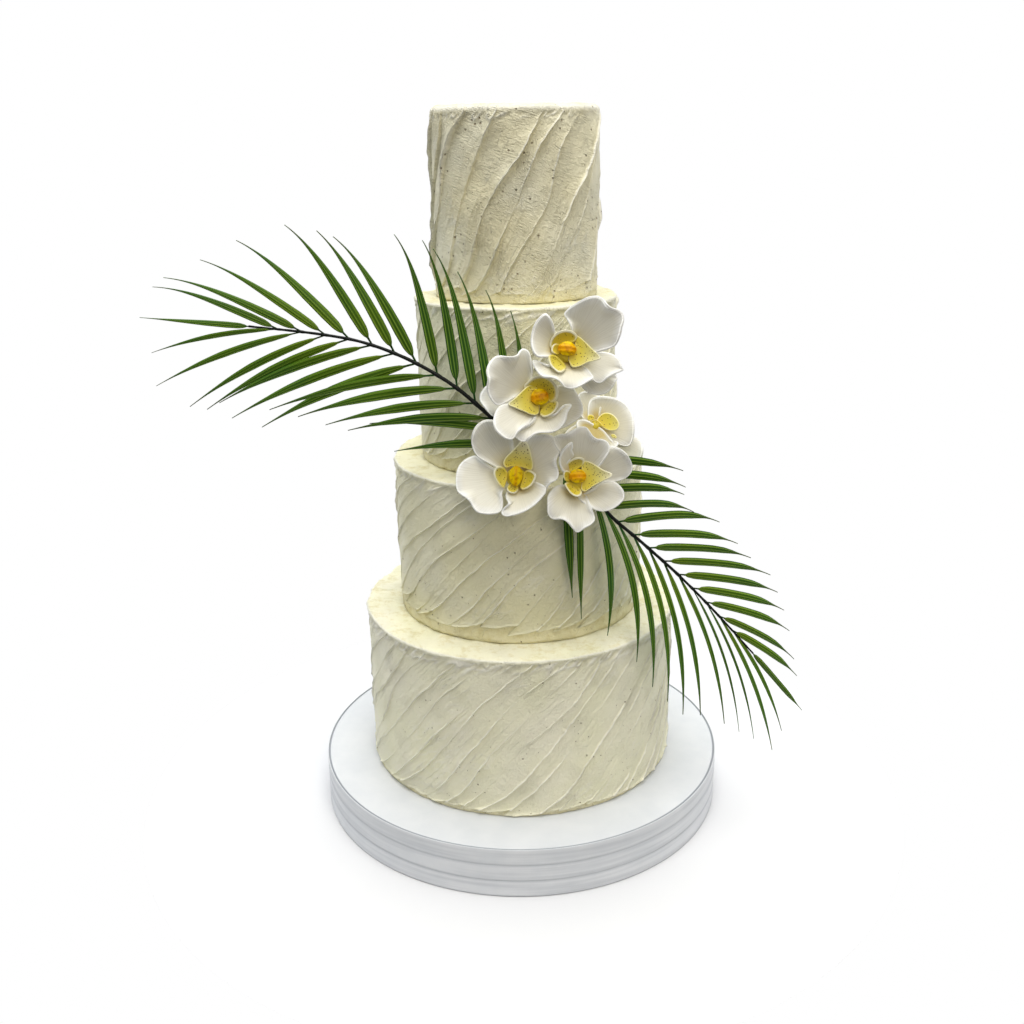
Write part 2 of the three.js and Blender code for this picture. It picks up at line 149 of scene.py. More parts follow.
# %% Lamps
LAMPS = [
    # name, place in mm, width in mm, watts, colour
    ("overhead softbox", (0, -500, 1900), 1100, 15.0, "#fffefb"),
    ("front softbox", (550, -1650, 1200), 800, 7.1, "#fdf1da"),
]
TARGET = np.array([0, 0, 250.0])

for name, place, size, power, colour in LAMPS:
    lamp = bpy.data.objects.new(name, bpy.data.lights.new(name, "AREA"))
    lamp.data.shape, lamp.data.size, lamp.data.energy = "DISK", size * MM, power
    lamp.data.color = linear(colour)[:3]
    away = np.array(place) - TARGET
    away = away / np.linalg.norm(away)
    side = np.cross([0, 1.0, 0.2], away)
    side /= np.linalg.norm(side)
    place_at(lamp, [side, np.cross(away, side), away], place)
    scene.collection.objects.link(lamp)
    print(name, "is", round(float(np.linalg.norm(place)) * MM, 2), "m from the cake's foot")

# %% [markdown]
# Every shape below is a closed grid: rows of points, each row a ring, with one point that
# closes each end. A tier's rows climb its side and cross its top, a leaf's rows follow its
# length, and a petal's rows run from the middle of its back over the rim to the middle of its
# face. One function makes the faces of any such grid, so the shapes are only formulas.

# %% Closed grids
def closed_faces(rows, columns, copies=1):
    """Quads between neighbouring rows and triangles to the two end points. One copy's points
    are the start point, rows x columns grid points, and the end point. Faces point outwards
    where (next column) x (next row) points outwards."""
    point = 1 + np.arange(rows * columns).reshape(rows, columns)
    beside = np.roll(point, -1, axis=1)
    quads = np.stack([point[:-1], beside[:-1], beside[1:], point[1:]], axis=-1).reshape(-1, 4)
    end = rows * columns + 1
    first = np.stack([np.zeros_like(point[0]), beside[0], point[0]], axis=-1)
    last = np.stack([point[-1], beside[-1], np.full_like(point[0], end)], axis=-1)
    shift = (np.arange(copies) * (end + 1))[:, None, None]
    tris = np.concatenate([first, last])
    return (quads + shift).reshape(-1, 4), (tris + shift).reshape(-1, 3)


def with_ends(grid):
    """Adds the end points to grids of shape (..., rows, columns, channels): each is the mean
    of the ring beside it."""
    flat = grid.reshape(*grid.shape[:-3], -1, grid.shape[-1])
    start = grid[..., 0, :, :].mean(-2, keepdims=True)
    end = grid[..., -1, :, :].mean(-2, keepdims=True)
    return np.concatenate([start, flat, end], axis=-2)


def put_mesh(name, parts, material, node):
    """Makes one object of closed grids and takes the place of a CAD node. Each part is a grid
    of points in mm and a grid of three values for the material, its attribute "place"."""
    points, values, quads, tris, offset = [], [], [], [], 0
    for grid, place in parts:
        rows, columns = grid.shape[-3:-1]
        copies = int(np.prod(grid.shape[:-3], dtype=int))
        four, three = closed_faces(rows, columns, copies)
        quads.append(four + offset)
        tris.append(three + offset)
        points.append(with_ends(grid).reshape(-1, 3))
        values.append(with_ends(place).reshape(-1, 3))
        offset += len(points[-1])
    points, values = np.concatenate(points) * MM, np.concatenate(values)
    quads, tris = np.concatenate(quads), np.concatenate(tris)
    mesh = bpy.data.meshes.new(name)
    mesh.vertices.add(len(points))
    mesh.vertices.foreach_set("co", points.astype(np.float32).ravel())
    mesh.loops.add(quads.size + tris.size)
    corners = np.concatenate([quads.ravel(), tris.ravel()])
    mesh.loops.foreach_set("vertex_index", corners.astype(np.int32))
    sizes = np.repeat([4, 3], [len(quads), len(tris)])
    mesh.polygons.add(len(sizes))
    mesh.polygons.foreach_set("loop_start", (np.cumsum(sizes) - sizes).astype(np.int32))
    mesh.polygons.foreach_set("use_smooth", np.ones(len(sizes), bool))
    mesh.update(calc_edges=True)
    store = mesh.attributes.new("place", "FLOAT_VECTOR", "POINT")
    store.data.foreach_set("vector", values.astype(np.float32).ravel())
    mesh.validate()
    mesh.materials.append(material)
    piece = bpy.data.objects.new(name, mesh)
    scene.collection.objects.link(piece)
    if node is None:
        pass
    else:
        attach(piece, "root")
        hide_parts(node)
    print(name, "triangles:", 2 * len(quads) + len(tris))
    return piece


def round_axis(radius, bearing, height):
    """Points round the upright axis: radius x (cos, sin) of the bearing, and the height. A
    column of radii and of heights gives a profile turned round the axis."""
    x, y = radius * np.cos(bearing), radius * np.sin(bearing)
    return np.stack(np.broadcast_arrays(x, y, height), axis=-1)


four, three = closed_faces(3, 8)
print("faces of a closed grid, 3 x 8:", len(four), "quads and", len(three), "triangles")

# %% Floor
FLOOR_RADIUS, FLOOR_COLUMNS, FLOOR_TOP = 340, 96, -0.2

floor_material, tree = new_material("white seamless paper")
# Matt studio paper: no gloss, and white enough to run into the background.
paper = add(tree, "BsdfPrincipled", {"Base Color": "#e6e6e7", "Roughness": 0.95, "Specular IOR Level": 0.1})
add(tree, "OutputMaterial", {"Surface": paper.outputs[0]})
profile = np.array([[FLOOR_RADIUS - 0.2, FLOOR_TOP - 0.06], [FLOOR_RADIUS, FLOOR_TOP - 0.03],
                    [FLOOR_RADIUS - 0.05, FLOOR_TOP], [FLOOR_RADIUS - 0.1, FLOOR_TOP],
                    [FLOOR_RADIUS / 2, FLOOR_TOP]])
floor = round_axis(profile[:, :1], TURN * np.arange(FLOOR_COLUMNS) / FLOOR_COLUMNS, profile[:, 1:])
put_mesh("floor", [(floor, np.zeros_like(floor))], floor_material, None)

# %% [markdown]
# Nothing on a cake is quite even. Two sources of unevenness are enough: one number per
# stroke, leaf or petal, and soft lumps of a given size in space. The lumps are value noise:
# random values on a lattice, joined smoothly between its points.

# %% Unevenness
def uneven(number, salt=0):
    """A value from -1 to 1 for each number: the fraction of a large sine, the same each run.
    Each salt gives another series."""
    wave = np.sin(np.asarray(number, float) * 127.1 + salt * 311.7) * 43758.5453
    return 2 * (wave - np.floor(wave)) - 1


LATTICE = np.random.default_rng(8).uniform(-1, 1, (32, 32, 32))


def lumps(points, size, salt=0):
    """Smooth noise from -1 to 1 with lumps of the given size in mm: the eight lattice values
    round each point, weighted by smoothstep of its place between them. Each salt reads the
    lattice elsewhere."""
    scaled = np.asarray(points, float) / size + salt * np.array([7.3, 3.7, 11.9])
    cell = np.floor(scaled).astype(int)
    part = scaled - cell
    part = part * part * (3 - 2 * part)
    total = np.zeros(scaled.shape[:-1])
    for corner in np.ndindex(2, 2, 2):
        x, y, z = np.moveaxis((cell + corner) % 32, -1, 0)
        share = np.where(np.array(corner) == 1, part, 1 - part).prod(-1)
        total += share * LATTICE[x, y, z]
    return total


def between(knots, x):
    """Straight lines between knots of (x, value), level beyond both ends."""
    knots = np.array(knots, float)
    return np.interp(x, knots[:, 0], knots[:, 1])


def smooth(low, high, x):
    """Smoothstep: 0 below low, 1 above high, an S-curve between."""
    part = np.clip((x - low) / (high - low), 0, 1)
    return part * part * (3 - 2 * part)


print("lattice mean:", round(float(LATTICE.mean()), 4))

# %% [markdown]
# A cake board, or drum, is thick fibre board wrapped in white satin foil. Here it is three
# layers high. A band of the same foil closes the edge and stands a little above the top, and
# the groove behind it is painted dark as painted shade, so a fine dark line runs just inside
# the rim. Faint lines show where the layers meet, and a painted contact shadow darkens the foot.
# The board is one profile turned round the axis. Soft lumps stand for the foil's slack.

# %% Board shape
BOARD_RADIUS, BOARD_HEIGHT, BOARD_COLUMNS = 177.8, 43.3, 256
BAND_PROUD, BAND_THICK, BAND_GAP, BAND_DEEP = 0.3, 0.8, 1.5, 1.3

layer = BOARD_HEIGHT / 3
board_top = BOARD_HEIGHT - BAND_PROUD
rim = BOARD_RADIUS - 0.2
# The edge, from the foot up: how far inside the rim it lies, and how high. It dips where two
# layers meet, closes over the band's top, drops into the groove behind it and comes out again.
side = np.array([
    [0.8, 0.0], [0.2, 0.35], [0, 1.0], [0, 2.2], [0.1, layer - 2.4], [0.35, layer - 0.5],
    [0.75, layer], [0.35, layer + 0.5], [0.1, layer + 2.4], [0.1, 2 * layer - 2.4],
    [0.3, 2 * layer - 0.5], [0.6, 2 * layer], [0.3, 2 * layer + 0.5], [0.05, 2 * layer + 2.4],
    [0, BOARD_HEIGHT - 4], [0, BOARD_HEIGHT - 1], [0.12, BOARD_HEIGHT - 0.3],
    [0.4, BOARD_HEIGHT], [0.75, BOARD_HEIGHT - 0.12], [0.95, BOARD_HEIGHT - 0.5],
    [BAND_THICK + 0.15, board_top - BAND_DEEP], [BAND_THICK + BAND_GAP, board_top - BAND_DEEP],
    [2.1, board_top - 0.45], [2.7, board_top - 0.05], [3.9, board_top],
])
inner = np.linspace(rim - 6, 8, 26)
radius = np.concatenate([[10, 90, rim - 2.0], rim - side[:, 0], inner])[:, None]
height = np.concatenate([[0, 0, 0], side[:, 1], np.full(len(inner), board_top)])[:, None]
bearing = TURN * np.arange(BOARD_COLUMNS) / BOARD_COLUMNS
board = round_axis(radius, bearing, height)
slack = 0.05 * lumps(board * [1, 1, 1.6], 26, 1) + 0.02 * lumps(board, 9, 2)
loose = smooth(1.0, 5.0, height) * smooth(6, 60, radius)
on_side = smooth(rim - 4, rim - 1, radius)
board[..., 0] += slack * loose * on_side * np.cos(bearing)
board[..., 1] += slack * loose * on_side * np.sin(bearing)
board[..., 2] += 1.5 * slack * loose * (1 - on_side)
# The third value darkens the foil: 1 in the groove and at the foot, as painted shade there,
# and 0.6 where two layers meet.
meet = 0.6 * np.exp(-((height - layer) / 1.1) ** 2) + 0.6 * np.exp(-((height - 2 * layer) / 0.9) ** 2)
off_groove = np.abs(radius - rim + BAND_THICK + BAND_GAP / 2 + 0.1)
groove = (off_groove < BAND_GAP / 2 + 0.1) & (height < BOARD_HEIGHT - 0.4) & (height > layer)
foot = np.exp(-((height / 0.9) ** 2)) * on_side
dark = np.where(groove, 1.0, meet * on_side) + foot
board_place = np.stack(np.broadcast_arrays(bearing * rim, height, dark), axis=-1)
print("board, mm across:", round(2 * float(np.hypot(board[..., 0], board[..., 1]).max()), 1))

# %% Board finish
board_material, tree = new_material("white satin drum foil")
# Embossed paper-backed foil: cool white, a satin sheen that spreads highlights wide.
place = add(tree, "Attribute", attribute_name="place").outputs["Vector"]
spot = add(tree, "TexCoord").outputs["Object"]
parts = add(tree, "SeparateXYZ", {0: place})
cloud = add(tree, "TexNoise", {"Vector": spot, "Scale": 38.0, "Detail": 3.0, "Roughness": 0.6})
tint = add(tree, "ValToRGB", {0: cloud.outputs["Fac"]}, stops=[(0.3, "#d4d7db"), (0.7, "#dcdee1")])
# The foil shows the layers under it: a few faint grey streaks along the edge, and darker lines
# where the layers meet. The groove and the foot are painted darker, as painted shade.
level_streaks = add(tree, "VectorMath", {0: spot, 1: (8.0, 8.0, 200.0)}, operation="MULTIPLY").outputs[0]
streak = add(tree, "TexNoise", {"Vector": level_streaks, "Scale": 1.0, "Detail": 2.0}).outputs["Fac"]
streak = add(tree, "MapRange", {
    "Value": streak, "From Min": 0.45, "From Max": 0.68, "To Max": 0.4}).outputs[0]
on_edge = add(tree, "Math", {
    0: parts.outputs["Y"], 1: BOARD_HEIGHT - 1.3}, operation="LESS_THAN").outputs[0]
streak = add(tree, "Math", {0: streak, 1: on_edge}, operation="MULTIPLY").outputs[0]
grey = add(tree, "Math", {0: parts.outputs["Z"], 1: streak}, operation="MAXIMUM").outputs[0]
# Painted shade: the groove and the foot take the darker grey here, with the joints and streaks.
tint = add(tree, "Mix", {0: grey, 6: tint.outputs[0], 7: "#a9adb4"}, data_type="RGBA").outputs[2]
emboss = add(tree, "TexNoise", {"Vector": spot, "Scale": 900.0, "Detail": 2.0}).outputs["Fac"]
relief = add(tree, "Bump", {"Height": emboss, "Strength": 0.35, "Distance": 0.0002}).outputs[0]
foil = add(tree, "BsdfPrincipled", {
    "Base Color": tint, "Roughness": 0.45, "Specular IOR Level": 0.3, "Normal": relief})
add(tree, "OutputMaterial", {"Surface": foil.outputs[0]})
put_mesh("wrapped_board", [(board, board_place)], board_material, "board")

# %% [markdown]
# The icing is buttercream laid on with a small palette knife. Each stroke starts near the
# foot of the tier and climbs to the right, and its lower right edge is left standing as a
# thin raised lip above the next stroke. Strokes swerve, grow and narrow, and some lips fade
# out. Their lower ends hang as a ragged hem over a smooth band at the foot, and the side is
# torn just under the rim, where the knife was lifted. The side could be displaced by a
# texture, but then the thin lips would need a very fine mesh. Here the columns of the grid
# follow the strokes and crowd together at their edges, so a moderate mesh carries them.

# %% Tiers
# Sizes in mm. radius: the tin with its icing. foot, top: the heights of its ends. ridges: how
# many strokes go round it. run: how far a stroke travels round the tier from foot to top, and
# bow: the share of that which grows as the square of its height. hook: how far its foot turns
# back. hem: the hem's height over the foot. under: how far the band below the hem lies back.
# tongue: how far the hem climbs along a stroke. step, lip: the drop at a stroke's edge and the
# lip that stands on it. columns: grid columns in a stroke. swerve: how far an edge wanders, as
# a share of a stroke's width. rough: how torn the side is under the rim. rim: the radius of
# the rounded rim, and fray: how uneven it is.
TIERS = [
    dict(name="tier_1", radius=133.1, foot=43.3, top=184.6, ridges=40, run=118, bow=0.2, hook=20,
         hem=2.4, under=0.6, tongue=3.6, step=0.35, lip=0.95, columns=19, swerve=0.24, rough=1.7,
         rim=3.0, fray=1.1),
    dict(name="tier_2", radius=103.9, foot=184.6, top=315.7, ridges=30, run=132, bow=0.5, hook=16,
         hem=9.0, under=0.6, tongue=8.5, step=0.45, lip=0.95, columns=25, swerve=0.24, rough=1.25,
         rim=3.0, fray=0.9),
    dict(name="tier_3", radius=80.7, foot=315.7, top=447.9, ridges=24, run=106, bow=0.4, hook=12,
         hem=7.0, under=0.5, tongue=6.5, step=0.5, lip=0.9, columns=30, swerve=0.28, rough=1.4,
         rim=3.0, fray=0.9),
    dict(name="tier_4", radius=64.4, foot=447.9, top=590.7, ridges=18, run=72, bow=0.1, hook=5,
         hem=6.5, under=0.05, tongue=7.0, step=2.9, lip=1.3, columns=40, swerve=0.4, rough=1.5,
         rim=6.0, fray=0.4),
]
for tier in TIERS:
    print(tier["name"], "strokes, mm wide:", round(TURN * tier["radius"] / tier["ridges"], 1))

# %% Rows and columns of a tier
SKIRT_ROWS, SIDE_ROWS, RIM_ROWS, LEDGE_ROWS = 10, 90, 6, 14
# Places up the side, and how far apart the rows are there, as shares of the widest gap.
ROW_GAPS = [[0, 0.3], [0.12, 0.9], [0.85, 1.0], [0.95, 0.5], [1, 0.4]]


def stroke_columns(ridges, each):
    """The stroke each column lies in, and how far across it, from 0 to 1. The columns crowd
    at the edges: f = t - 0.75 sin(2 pi t) / (2 pi)."""
    t = np.arange(each) / each
    across = t - 0.75 * np.sin(TURN * t) / TURN
    return np.repeat(np.arange(ridges), each), np.tile(across, ridges)


def hem_heights(tier, index, stroke, f):
    """The hem's height over each column. Along a stroke it rises as f^2.4 from a low end to a
    high end, then falls back to the next low end, and it has crumbs of two sizes."""
    number = np.arange(tier["ridges"])
    low_end = tier["hem"] * (1 + 0.45 * uneven(number, index + 20))
    high_end = low_end + tier["tongue"] * (0.8 + 0.8 * uneven(number, index + 30))
    started = smooth(0, 0.1, f)
    climbing = low_end[stroke] + (high_end - low_end)[stroke] * f**2.4
    hem = (1 - started) * high_end[stroke - 1] + started * climbing
    ring = round_axis(tier["radius"], TURN * (stroke + f) / tier["ridges"], 0 * f)
    hem = hem + 0.9 * lumps(ring, 2.4, index + 33) + 0.7 * lumps(ring, 6.1, index + 34)
    return tier["foot"] + np.maximum(hem, 0.7)


def row_heights(tier, hem):
    """Heights of the rows on the side: those of the smooth band up to the hem, then those of
    the strokes up to the foot of the rounded rim, closer together near both ends."""
    foot, rim_foot = tier["foot"], tier["top"] - tier["rim"]
    low = foot + (hem - 0.25 - foot) * np.linspace(0, 1, SKIRT_ROWS)[:, None] ** 0.7
    gaps = between(ROW_GAPS, np.linspace(0, 1, SIDE_ROWS - 1))
    climb = np.concatenate([[0], np.cumsum(gaps) / gaps.sum()])[:, None]
    return np.concatenate([low, hem + 0.15 + (rim_foot - hem - 0.15) * climb])


print("rows of a tier:", SKIRT_ROWS + SIDE_ROWS + RIM_ROWS + LEDGE_ROWS)

# %% The way of a stroke
SWERVE_LIMIT, HOOK_FADE = 0.44, 12  # a share of a stroke's width, and mm of height


def streak(owner, z, height, salt, index):
    """Noise that belongs to one stroke and changes up the tier in lumps of a given height."""
    mark = np.stack([owner * 9.7 + 0 * z, z / height + 0 * owner, 0 * z + index * 5.5], axis=-1)
    return lumps(mark, 1.0, salt)


def edge_shift(tier, index, owner, z):
    """How far round the tier a stroke's edge lies from its even place, in mm: it swerves on
    its way up, by less than half a stroke, and hooks back at its foot, as
    exp(-height / HOOK_FADE)."""
    spacing = TURN * tier["radius"] / tier["ridges"]
    wander = 0.5 * uneven(owner, index + 7) + 1.5 * streak(owner, z, 42, index + 8, index)
    swerve = spacing * tier["swerve"] * wander
    hook = tier["hook"] * (0.75 + 0.25 * uneven(owner, index + 9))
    hook = hook * np.exp(-(z - tier["foot"] - tier["hem"]).clip(0) / HOOK_FADE)
    return np.clip(swerve, -SWERVE_LIMIT * spacing, SWERVE_LIMIT * spacing) - hook


def stroke_ways(tier, index, stroke, f, z):
    """The bearing of each point of the side, its place on the plain round, and the width of
    its stroke there. Round the tier, a point lies at (stroke + f) spacings, plus the shifts of
    the two edges beside it in the shares 1 - f and f, plus the travel up to its height."""
    radius = tier["radius"]
    spacing = TURN * radius / tier["ridges"]
    up = np.clip((z - tier["foot"]) / (tier["top"] - tier["foot"]), 0, 1)
    travel = tier["run"] * (up * (1 - tier["bow"]) + tier["bow"] * up**2)
    shift = edge_shift(tier, index, stroke, z)
    next_shift = edge_shift(tier, index, (stroke + 1) % tier["ridges"], z)
    arc = (stroke + f) * spacing + (1 - f) * shift + f * next_shift + travel
    bearing = arc / radius
    line = round_axis(radius, bearing, z)
    wander = 0.9 * lumps(line * [1, 1, 0.6], 11, index + 3) + 0.5 * lumps(line, 4, index + 5)
    wander = wander + 0.4 * lumps(line, 2.6, index + 25)
    return bearing + wander / radius, line, spacing + next_shift - shift


shift = edge_shift(TIERS[3], 3, 0, np.array(520.0))
print("shift of an edge of tier 4, mm:", round(float(shift), 2))

# %% The relief of a stroke
# In mm: how far the drop past an edge reaches, how wide the lip before it is, and how far the
# painted highlight along an edge reaches on both sides. Then how many faint marks each stroke holds.
DROP, LIP, PALE_BEFORE, PALE_PAST = 0.38, 0.5, 0.6, 0.4
MARKS = 3
SCRAPE_WIDE, SCRAPE_LONG = 2.0, 15  # mm


def stroke_strength(tier, index, owner, z):
    """How far a stroke's edge stands out, from 0, where it fades away, to about 1.7."""
    kept = 0.9 + 0.35 * uneven(owner, index + 11) + 1.7 * streak(owner, z, 34, index + 11, index)
    nicks = streak(owner, z, 4.3, index + 12, index)
    return np.clip(kept, 0.0, 1.7) * (1 + 0.7 / (1 + tier["step"]) * nicks)


def stroke_relief(tier, index, stroke, f, z, wide):
    """Heights over the tin's round, and how near each point is to a lip. Across a stroke the
    surface rises as f^1.7 to its far edge, where a lip stands, and steps down past it."""
    step, lip = tier["step"], tier["lip"]
    own = stroke_strength(tier, index, stroke, z)
    following = stroke_strength(tier, index, (stroke + 1) % tier["ridges"], z)
    before_edge, past_edge = (1 - f) * wide, f * wide
    drop = np.exp(-((past_edge / DROP) ** 2))
    rise = following * (step * (f**1.7 - 0.5) + lip * np.exp(-before_edge / LIP))
    relief = drop * own * (0.5 * step + lip) + (1 - drop) * rise
    # crest: how strongly the painted highlight along a lip lies on each point.
    crest = np.maximum(following * np.exp(-((before_edge / PALE_BEFORE) ** 2)),
                       own * np.exp(-((past_edge / PALE_PAST) ** 2)))
    # Fainter marks of the knife inside a stroke, each along its own line.
    number = np.arange(tier["ridges"])
    for mark in range(MARKS):
        at = 0.5 + 0.36 * uneven(number, index + 40 + mark)
        thick = 0.55 + 0.2 * uneven(number, index + 50 + mark)
        shown = streak(stroke * 0.53 + mark, z, 26, index + 60, index).clip(0)
        relief += 0.75 * shown * lip * np.exp(-(((f - at[stroke]) * wide / thick[stroke]) ** 2))
    # The knife scrapes fine lines all over. The strokes grow flatter towards the rim.
    spacing = TURN * tier["radius"] / tier["ridges"]
    scraped = np.stack([(stroke + f) * spacing / SCRAPE_WIDE + 0 * z, z / SCRAPE_LONG,
                        0 * z + index], axis=-1)
    relief += 0.13 * lumps(scraped, 1.0, index + 70)
    top, rim_foot = tier["top"], tier["top"] - tier["rim"]
    flatter = 1 - 0.45 * smooth(top - 26, top - 6, z)
    relief = relief * flatter * (1 - 0.5 * smooth(rim_foot - 3, rim_foot, z))
    return relief, crest


print("edges, mm high:", [round(tier["step"] / 2 + tier["lip"], 2) for tier in TIERS])

# %% Hem and torn side
TORN_DEEP = 16  # mm from the tier's top down to where the tearing fades out
FLAP_WIDE, FLAP_LONG = 5.5, 7.0


def hem_and_band(tier, index, line, above, relief):
    """Heights over the tin's round, from the height above the hem: over it the strokes, and a
    bead along it that fades as exp(-height / 6); below it a smooth band that lies back."""
    layered = smooth(-0.3, 0.1, above)
    bead = 0.7 * np.exp(-((above - 0.6) / 0.8) ** 2) + 0.3 * np.exp(-above.clip(0) / 6)
    bead = bead * (0.2 + 1.5 * tier["under"] + 1.3 * lumps(line, 5.2, index + 14)).clip(0)
    wobble = 0.25 * lumps(line * [1, 1, 2.2], 9, index + 13) + 0.35 * lumps(line, 3.4, index + 27)
    band = wobble - tier["under"] - 0.6 * lumps(line * [1, 1, 0], 21, index + 22)
    return layered * (relief + bead) + (1 - layered) * band, layered


def torn_flaps(tier, index, stroke, f, line, layered):
    """Heights of the torn icing under the rim, and how strongly its flaps are painted pale, as a
    painted highlight. Flaps are thin ridges along the zero lines of a noise, 1 - 4.5 |noise|; a few
    stray ones stand lower down."""
    z, top, rim_foot = line[..., 2], tier["top"], tier["top"] - tier["rim"]
    lower_end = top - TORN_DEEP - 8 * lumps(line * [1, 1, 0], 24, index + 6)
    torn = smooth(lower_end, top - 7, z) * tier["rough"]
    torn = torn * (1 - 0.8 * smooth(rim_foot - 2.5, rim_foot, z))
    spacing = TURN * tier["radius"] / tier["ridges"]
    ripped = np.stack([(stroke + f) * spacing / FLAP_WIDE + 0 * z, z / FLAP_LONG,
                       0 * z + index], axis=-1)
    flaps = (1 - 4.5 * np.abs(lumps(ripped, 1.0, index + 15))).clip(0) ** 1.5
    ragged = 0.7 * lumps(line, 3.0, index + 16) + 0.5 * lumps(ripped, 0.5, index + 23)
    stray = smooth(0.22, 0.5, lumps(line, 25, index + 24)) * layered
    heights = torn * (0.65 * ragged + 0.85 * flaps - 0.2) + 0.4 * stray * flaps
    return heights, 0.8 * flaps * np.maximum(torn, 0.6 * stray)


print("torn side, mm high, about:", [TORN_DEEP - tier["rim"] for tier in TIERS])

# %% Rim and ledge
SWEPT_LONG, SWEPT_WIDE = 18, 3.6  # mm
LEDGE_HOLE = 4  # mm, the radius at which the ledge's rows end and its middle is closed


def rim_sway(tier, index, bearing):
    """How far the rim overhangs and how far it is raised, round the tier."""
    circle = round_axis(tier["radius"], bearing, 0 * bearing)
    sway, crumb = lumps(circle, 17, index + 17), lumps(circle, 4.1, index + 18)
    overhang = tier["fray"] * (0.8 + 1.5 * sway + 0.5 * crumb).clip(0)
    raised = tier["fray"] * (1.6 * sway + 0.5 * crumb) - 0.5
    return overhang, raised


def rim_and_ledge(tier, index, bearing, out, overhang, raised):
    """Radii and heights of the rim's rows, a quarter turn (1 - cos, sin) from the side's last
    row, which stands out by so much, and of the ledge's rows, which run in to the middle."""
    radius, top, rim = tier["radius"], tier["top"], tier["rim"]
    over = np.linspace(0, 1, RIM_ROWS + 1)[1:, None] * np.pi / 2
    rim_radius = radius - rim * (1 - np.cos(over)) + out * np.cos(over) ** 0.6
    rim_radius = rim_radius + overhang * 0.3 * np.sin(over)
    rim_height = top - rim + rim * np.sin(over) + np.sin(over) * raised
    share = np.linspace(0, 1, LEDGE_ROWS + 1)[1:, None] ** 1.7
    ledge_radius = radius - rim - (radius - rim - LEDGE_HOLE) * share
    # The ledge was swept flat from side to side, which leaves long lumps over broader ones.
    ledge = round_axis(ledge_radius, bearing, 0.0)
    swept = 0.8 * lumps(ledge * [1 / SWEPT_LONG, 1 / SWEPT_WIDE, 0], 1.0, index + 19)
    swept = swept + 0.35 * lumps(ledge, 30, index + 21) + 0.4 * lumps(ledge, 5, index + 26)
    inward = smooth(0, 9, radius - rim - ledge_radius)
    ledge_height = top - 0.5 - 0.3 * inward + (1 - inward) * (raised + 0.5) + inward * swept
    return (np.concatenate([rim_radius, ledge_radius + 0 * bearing]),
            np.concatenate([rim_height, ledge_height]))


overhang, _ = rim_sway(TIERS[0], 0, np.linspace(0, TURN, 200))
print("tier 1's rim overhangs by up to, mm:", round(float(overhang.max()), 1))

# %% A whole tier
def tier_shape(tier, index):
    """The iced tier as rows of points: radius = tin + relief and hem + soft lumps + torn icing,
    then the rim and the ledge. With each point come three values for the material: its place
    across and along the strokes in mm, and 1 below the hem, 0 above it, -1 on a lip, -3 on
    the ledge."""
    radius, foot, top, rim = (tier[key] for key in ("radius", "foot", "top", "rim"))
    stroke, f = stroke_columns(tier["ridges"], tier["columns"])
    hem = hem_heights(tier, index, stroke, f)
    z = row_heights(tier, hem)
    bearing, line, wide = stroke_ways(tier, index, stroke, f, z)
    relief, crest = stroke_relief(tier, index, stroke, f, z, wide)
    out, layered = hem_and_band(tier, index, line, z - hem, relief)
    out += 0.5 * lumps(line, 48, index + 1) + 0.22 * lumps(line * [1, 1, 1.3], 8, index + 2)
    out += layered * 0.16 * lumps(line, 3.1, index + 4)
    torn, pale = torn_flaps(tier, index, stroke, f, line, layered)
    out += torn
    # The torn flaps take the painted highlight of the lips.
    crest = np.maximum(crest, pale)
    overhang, raised = rim_sway(tier, index, bearing[-1])
    out += overhang * smooth(top - 5.5, top - rim, z)
    past_radius, past_height = rim_and_ledge(tier, index, bearing[-1], out[-1], overhang, raised)
    r, z = np.concatenate([radius + out, past_radius]), np.concatenate([z, past_height])
    bearing = np.concatenate([bearing, np.repeat(bearing[-1:], len(past_height), axis=0)])
    on_rim = np.clip(np.arange(1, len(past_height) + 1) / RIM_ROWS, 0, 1)[:, None]
    below = np.concatenate([1 - layered - layered * crest.clip(0, 1), -3.0 * on_rim + 0 * past_height])
    arc = (stroke + f) * (TURN * radius / tier["ridges"])
    lean = tier["run"] / (top - foot)
    forward = (arc * lean + z * (1 + lean**2)) / np.hypot(1, lean)
    return round_axis(r, bearing, z), np.stack([arc + 0 * z, forward, below], axis=-1)


iced = [tier_shape(tier, index) for index, tier in enumerate(TIERS)]
for tier, (shape, _) in zip(TIERS, iced):
    print(tier["name"], "rows and columns:", shape.shape[:2])

# %% [markdown]
# Buttercream crusts as it stands: a soft, almost matt ivory skin over sugar grain, with burst
# air bubbles and the marks of a knife that skips. Relief as fine as this could be modelled, but
# it would take millions of faces, so it is bump. Where a tint follows the knife it reads the
# grid's own values, and elsewhere it reads the place on the cake.

